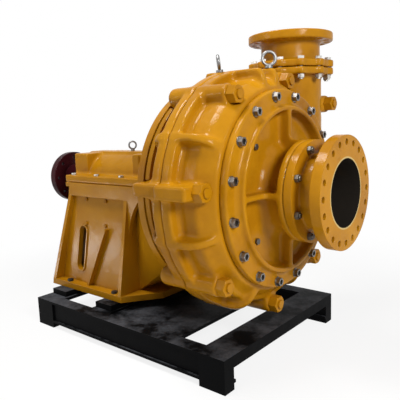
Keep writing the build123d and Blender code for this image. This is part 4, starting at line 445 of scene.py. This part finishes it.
# Shaft, sleeve and bearings: turned and ground steel. The rings are pressed on the shaft and into the
# housing, and the rollers run between them in brass cages.
bright = steel("turned_steel", (0.55, 0.55, 0.56), roughness=0.25, stain_scale=20.0)
brass = steel("cage_brass", (0.62, 0.40, 0.16), roughness=0.35, stain_scale=20.0)
dress(bright, "shaft", "shaft_sleeve", "coupling_key", "lock_nut", "slinger", "pump_end_inner_ring",
      "pump_end_outer_ring", "pump_end_rollers", "drive_end_inner_ring", "drive_end_outer_ring",
      "drive_end_rollers")
dress(brass, "pump_end_cage", "drive_end_cage")

# Coupling half: a turned iron disc, keyed on the shaft's end and drilled for the motor's half, in a dark
# maroon enamel.
maroon_set = ((0.018, 0.002, 0.003), (0.03, 0.004, 0.006), (0.045, 0.008, 0.010))
maroon = enamel("maroon_enamel", maroon_set, cloud_scale=3.0, peel_scale=220.0, peel_depth=0.0003,
                wave_depth=0.001, roughness=0.3, edge_radius=0.003)
dress(maroon, "coupling_half")

# Stuffing box and gland: unpainted grey iron castings with a sandy skin, bored for the packing and drawn
# together by two oiled studs with plated nuts. The lantern ring between the packing rings is turned from
# the same yellow metal as the bearing cages.
SAND_SCALE = 38.0
SAND_DEPTH = 0.001
IRON_METALLIC = 0.6


def cast_metal(name, colour, roughness):
    """Unpainted cast iron with a sandy skin."""
    material, tree, shader, _ = new_material(name)
    place = tree.nodes.new("ShaderNodeTexCoord")
    sand = tree.nodes.new("ShaderNodeTexNoise")
    sand.inputs["Scale"].default_value = SAND_SCALE
    sand.inputs["Detail"].default_value = 8.0
    tree.links.new(place.outputs["Object"], sand.inputs["Vector"])
    shade = tree.nodes.new("ShaderNodeMix")
    shade.data_type = "RGBA"
    shade.inputs["A"].default_value = (*[value * STAIN_SHADE for value in colour], 1)
    shade.inputs["B"].default_value = (*colour, 1)
    tree.links.new(sand.outputs["Fac"], shade.inputs["Factor"])
    tree.links.new(shade.outputs["Result"], shader.inputs["Base Color"])
    skin = tree.nodes.new("ShaderNodeBump")
    skin.inputs["Distance"].default_value = SAND_DEPTH
    tree.links.new(sand.outputs["Fac"], skin.inputs["Height"])
    tree.links.new(skin.outputs["Normal"], shader.inputs["Normal"])
    shader.inputs["Metallic"].default_value = IRON_METALLIC
    shader.inputs["Roughness"].default_value = roughness
    return material


grey_iron = cast_metal("grey_iron", (0.16, 0.155, 0.15), roughness=0.6)
oiled_thread = steel("oiled_thread", (0.07, 0.065, 0.06), roughness=0.5, stain_scale=60.0)
dress(grey_iron, "stuffing_box", "gland")
dress(brass, "lantern_ring")
dress(zinc, "gland_nuts")
dress(oiled_thread, "gland_studs")

# Adapter ring and the two casing halves: iron castings under the enamel, the halves with moulded fillets
# and a turned joint. Long studs with painted nuts clamp them, and two forged eyes are screwed in on top
# for lifting.
cast_enamel = enamel("cast_enamel", ochre, cloud_scale=2.2, peel_scale=160.0, peel_depth=0.0006,
                     wave_depth=0.006, roughness=0.27)
dress(turned_enamel, "adapter_ring", "tie_nuts", "tie_studs")
soft_casting("rear_casing", cast_enamel, grain=0.0075, fillet=0.010)
soft_casting("front_casing", cast_enamel, grain=0.0075, fillet=0.010)
dress(eye_steel, "casing_eyes")

# Wet end: liners and impeller, cast in chromium iron that is near black and dull. The liners are drawn
# against the casing by bolts, and the impeller is screwed on the shaft.
hard_iron = cast_metal("hard_iron", (0.05, 0.05, 0.052), roughness=0.55)
dress(hard_iron, "volute_liner", "front_liner", "rear_liner", "impeller")

# Suction cover: an iron casting with a ribbed dish and a turned rim, held on the front casing by studs
# with plated washers and nuts. Four more bolts in the dish hold the liner behind it.
soft_casting("suction_cover", cast_enamel, grain=0.0065, fillet=0.006)
dress(oiled_thread, "cover_studs")
plated_nut = steel("plated_nut", (0.30, 0.28, 0.26), roughness=0.32, stain_scale=45.0)
dress(plated_nut, "cover_washers", "cover_nuts")
stained_bolt = steel("stained_bolt", (0.20, 0.19, 0.18), roughness=0.4, stain_scale=40.0)
dress(stained_bolt, "liner_bolts")

# Discharge spool: a cast iron riser with its pipe flange, under the same enamel. Its lower flange is
# bolted down on the casing's neck with zinc-plated bolts and nuts.
soft_casting("discharge_spool", cast_enamel, grain=0.005, fillet=0.010)
dress(zinc, "discharge_bolts", "discharge_nuts")

# Suction spool: a machined iron casting under the same enamel, held on the cover's hub by steel studs. Its
# bore is coloured near black: dark iron with painted shade inside the pipe on top. A narrow pale ring
# on the flange face marks where the edge was masked off.
BORE_RADIUS = 0.175
BORE_EDGE = 0.001
LIP_WIDTH = 0.009
LIP_PALE = (0.50, 0.36, 0.13, 1)
# Near-black bore colour: dark iron darkened further as painted shade inside the pipe.
BORE_IRON_AND_SHADE = (0.020, 0.017, 0.014, 1)
spool_enamel = enamel("spool_enamel", ochre, cloud_scale=2.6, peel_scale=200.0, peel_depth=0.0004,
                      wave_depth=0.002, roughness=0.27, edge_radius=0.005)
tree = spool_enamel.node_tree
shader = next(node for node in tree.nodes if node.type == "BSDF_PRINCIPLED")
place = tree.nodes.new("ShaderNodeTexCoord")
from_shaft = tree.nodes.new("ShaderNodeVectorMath")
from_shaft.operation = "MULTIPLY"
from_shaft.inputs[1].default_value = (0, 1, 1)
tree.links.new(place.outputs["Object"], from_shaft.inputs[0])
radius = tree.nodes.new("ShaderNodeVectorMath")
radius.operation = "LENGTH"
tree.links.new(from_shaft.outputs["Vector"], radius.inputs[0])
coat = shader.inputs["Base Color"].links[0].from_socket
# Inside the bore radius the colour turns near black, painted shade over dark iron; just outside it is the
# pale ring.
for edge, colour in ((BORE_RADIUS + LIP_WIDTH, LIP_PALE), (BORE_RADIUS + BORE_EDGE, BORE_IRON_AND_SHADE)):
    inside = tree.nodes.new("ShaderNodeMath")
    inside.operation = "LESS_THAN"
    inside.inputs[1].default_value = edge
    tree.links.new(radius.outputs["Value"], inside.inputs[0])
    layer = tree.nodes.new("ShaderNodeMix")
    layer.data_type = "RGBA"
    layer.inputs["B"].default_value = colour
    tree.links.new(coat, layer.inputs["A"])
    tree.links.new(inside.outputs["Value"], layer.inputs["Factor"])
    coat = layer.outputs["Result"]
tree.links.new(coat, shader.inputs["Base Color"])
dress(spool_enamel, "suction_spool")
spool_steel = steel("spool_steel", (0.24, 0.22, 0.19), roughness=0.4, stain_scale=45.0)
dress(spool_steel, "spool_nuts", "spool_studs")

# Gaskets, seals and packing: flat rings cut from dark red fibre sheet, and soft rings in the same red
# that seal on the shaft and its sleeve.
FIBRE_SCALE = 90.0
GASKET_DARK = (0.05, 0.008, 0.006, 1)
GASKET_RED = (0.12, 0.02, 0.014, 1)
gasket_sheet, tree, shader, _ = new_material("gasket_sheet")
place = tree.nodes.new("ShaderNodeTexCoord")
fibre = tree.nodes.new("ShaderNodeTexNoise")
fibre.inputs["Scale"].default_value = FIBRE_SCALE
tree.links.new(place.outputs["Object"], fibre.inputs["Vector"])
shade = tree.nodes.new("ShaderNodeMix")
shade.data_type = "RGBA"
shade.inputs["A"].default_value = GASKET_DARK
shade.inputs["B"].default_value = GASKET_RED
tree.links.new(fibre.outputs["Fac"], shade.inputs["Factor"])
tree.links.new(shade.outputs["Result"], shader.inputs["Base Color"])
shader.inputs["Roughness"].default_value = 0.8
dress(gasket_sheet, "suction_gasket", "discharge_gasket", "oil_seals", "packing_rings")
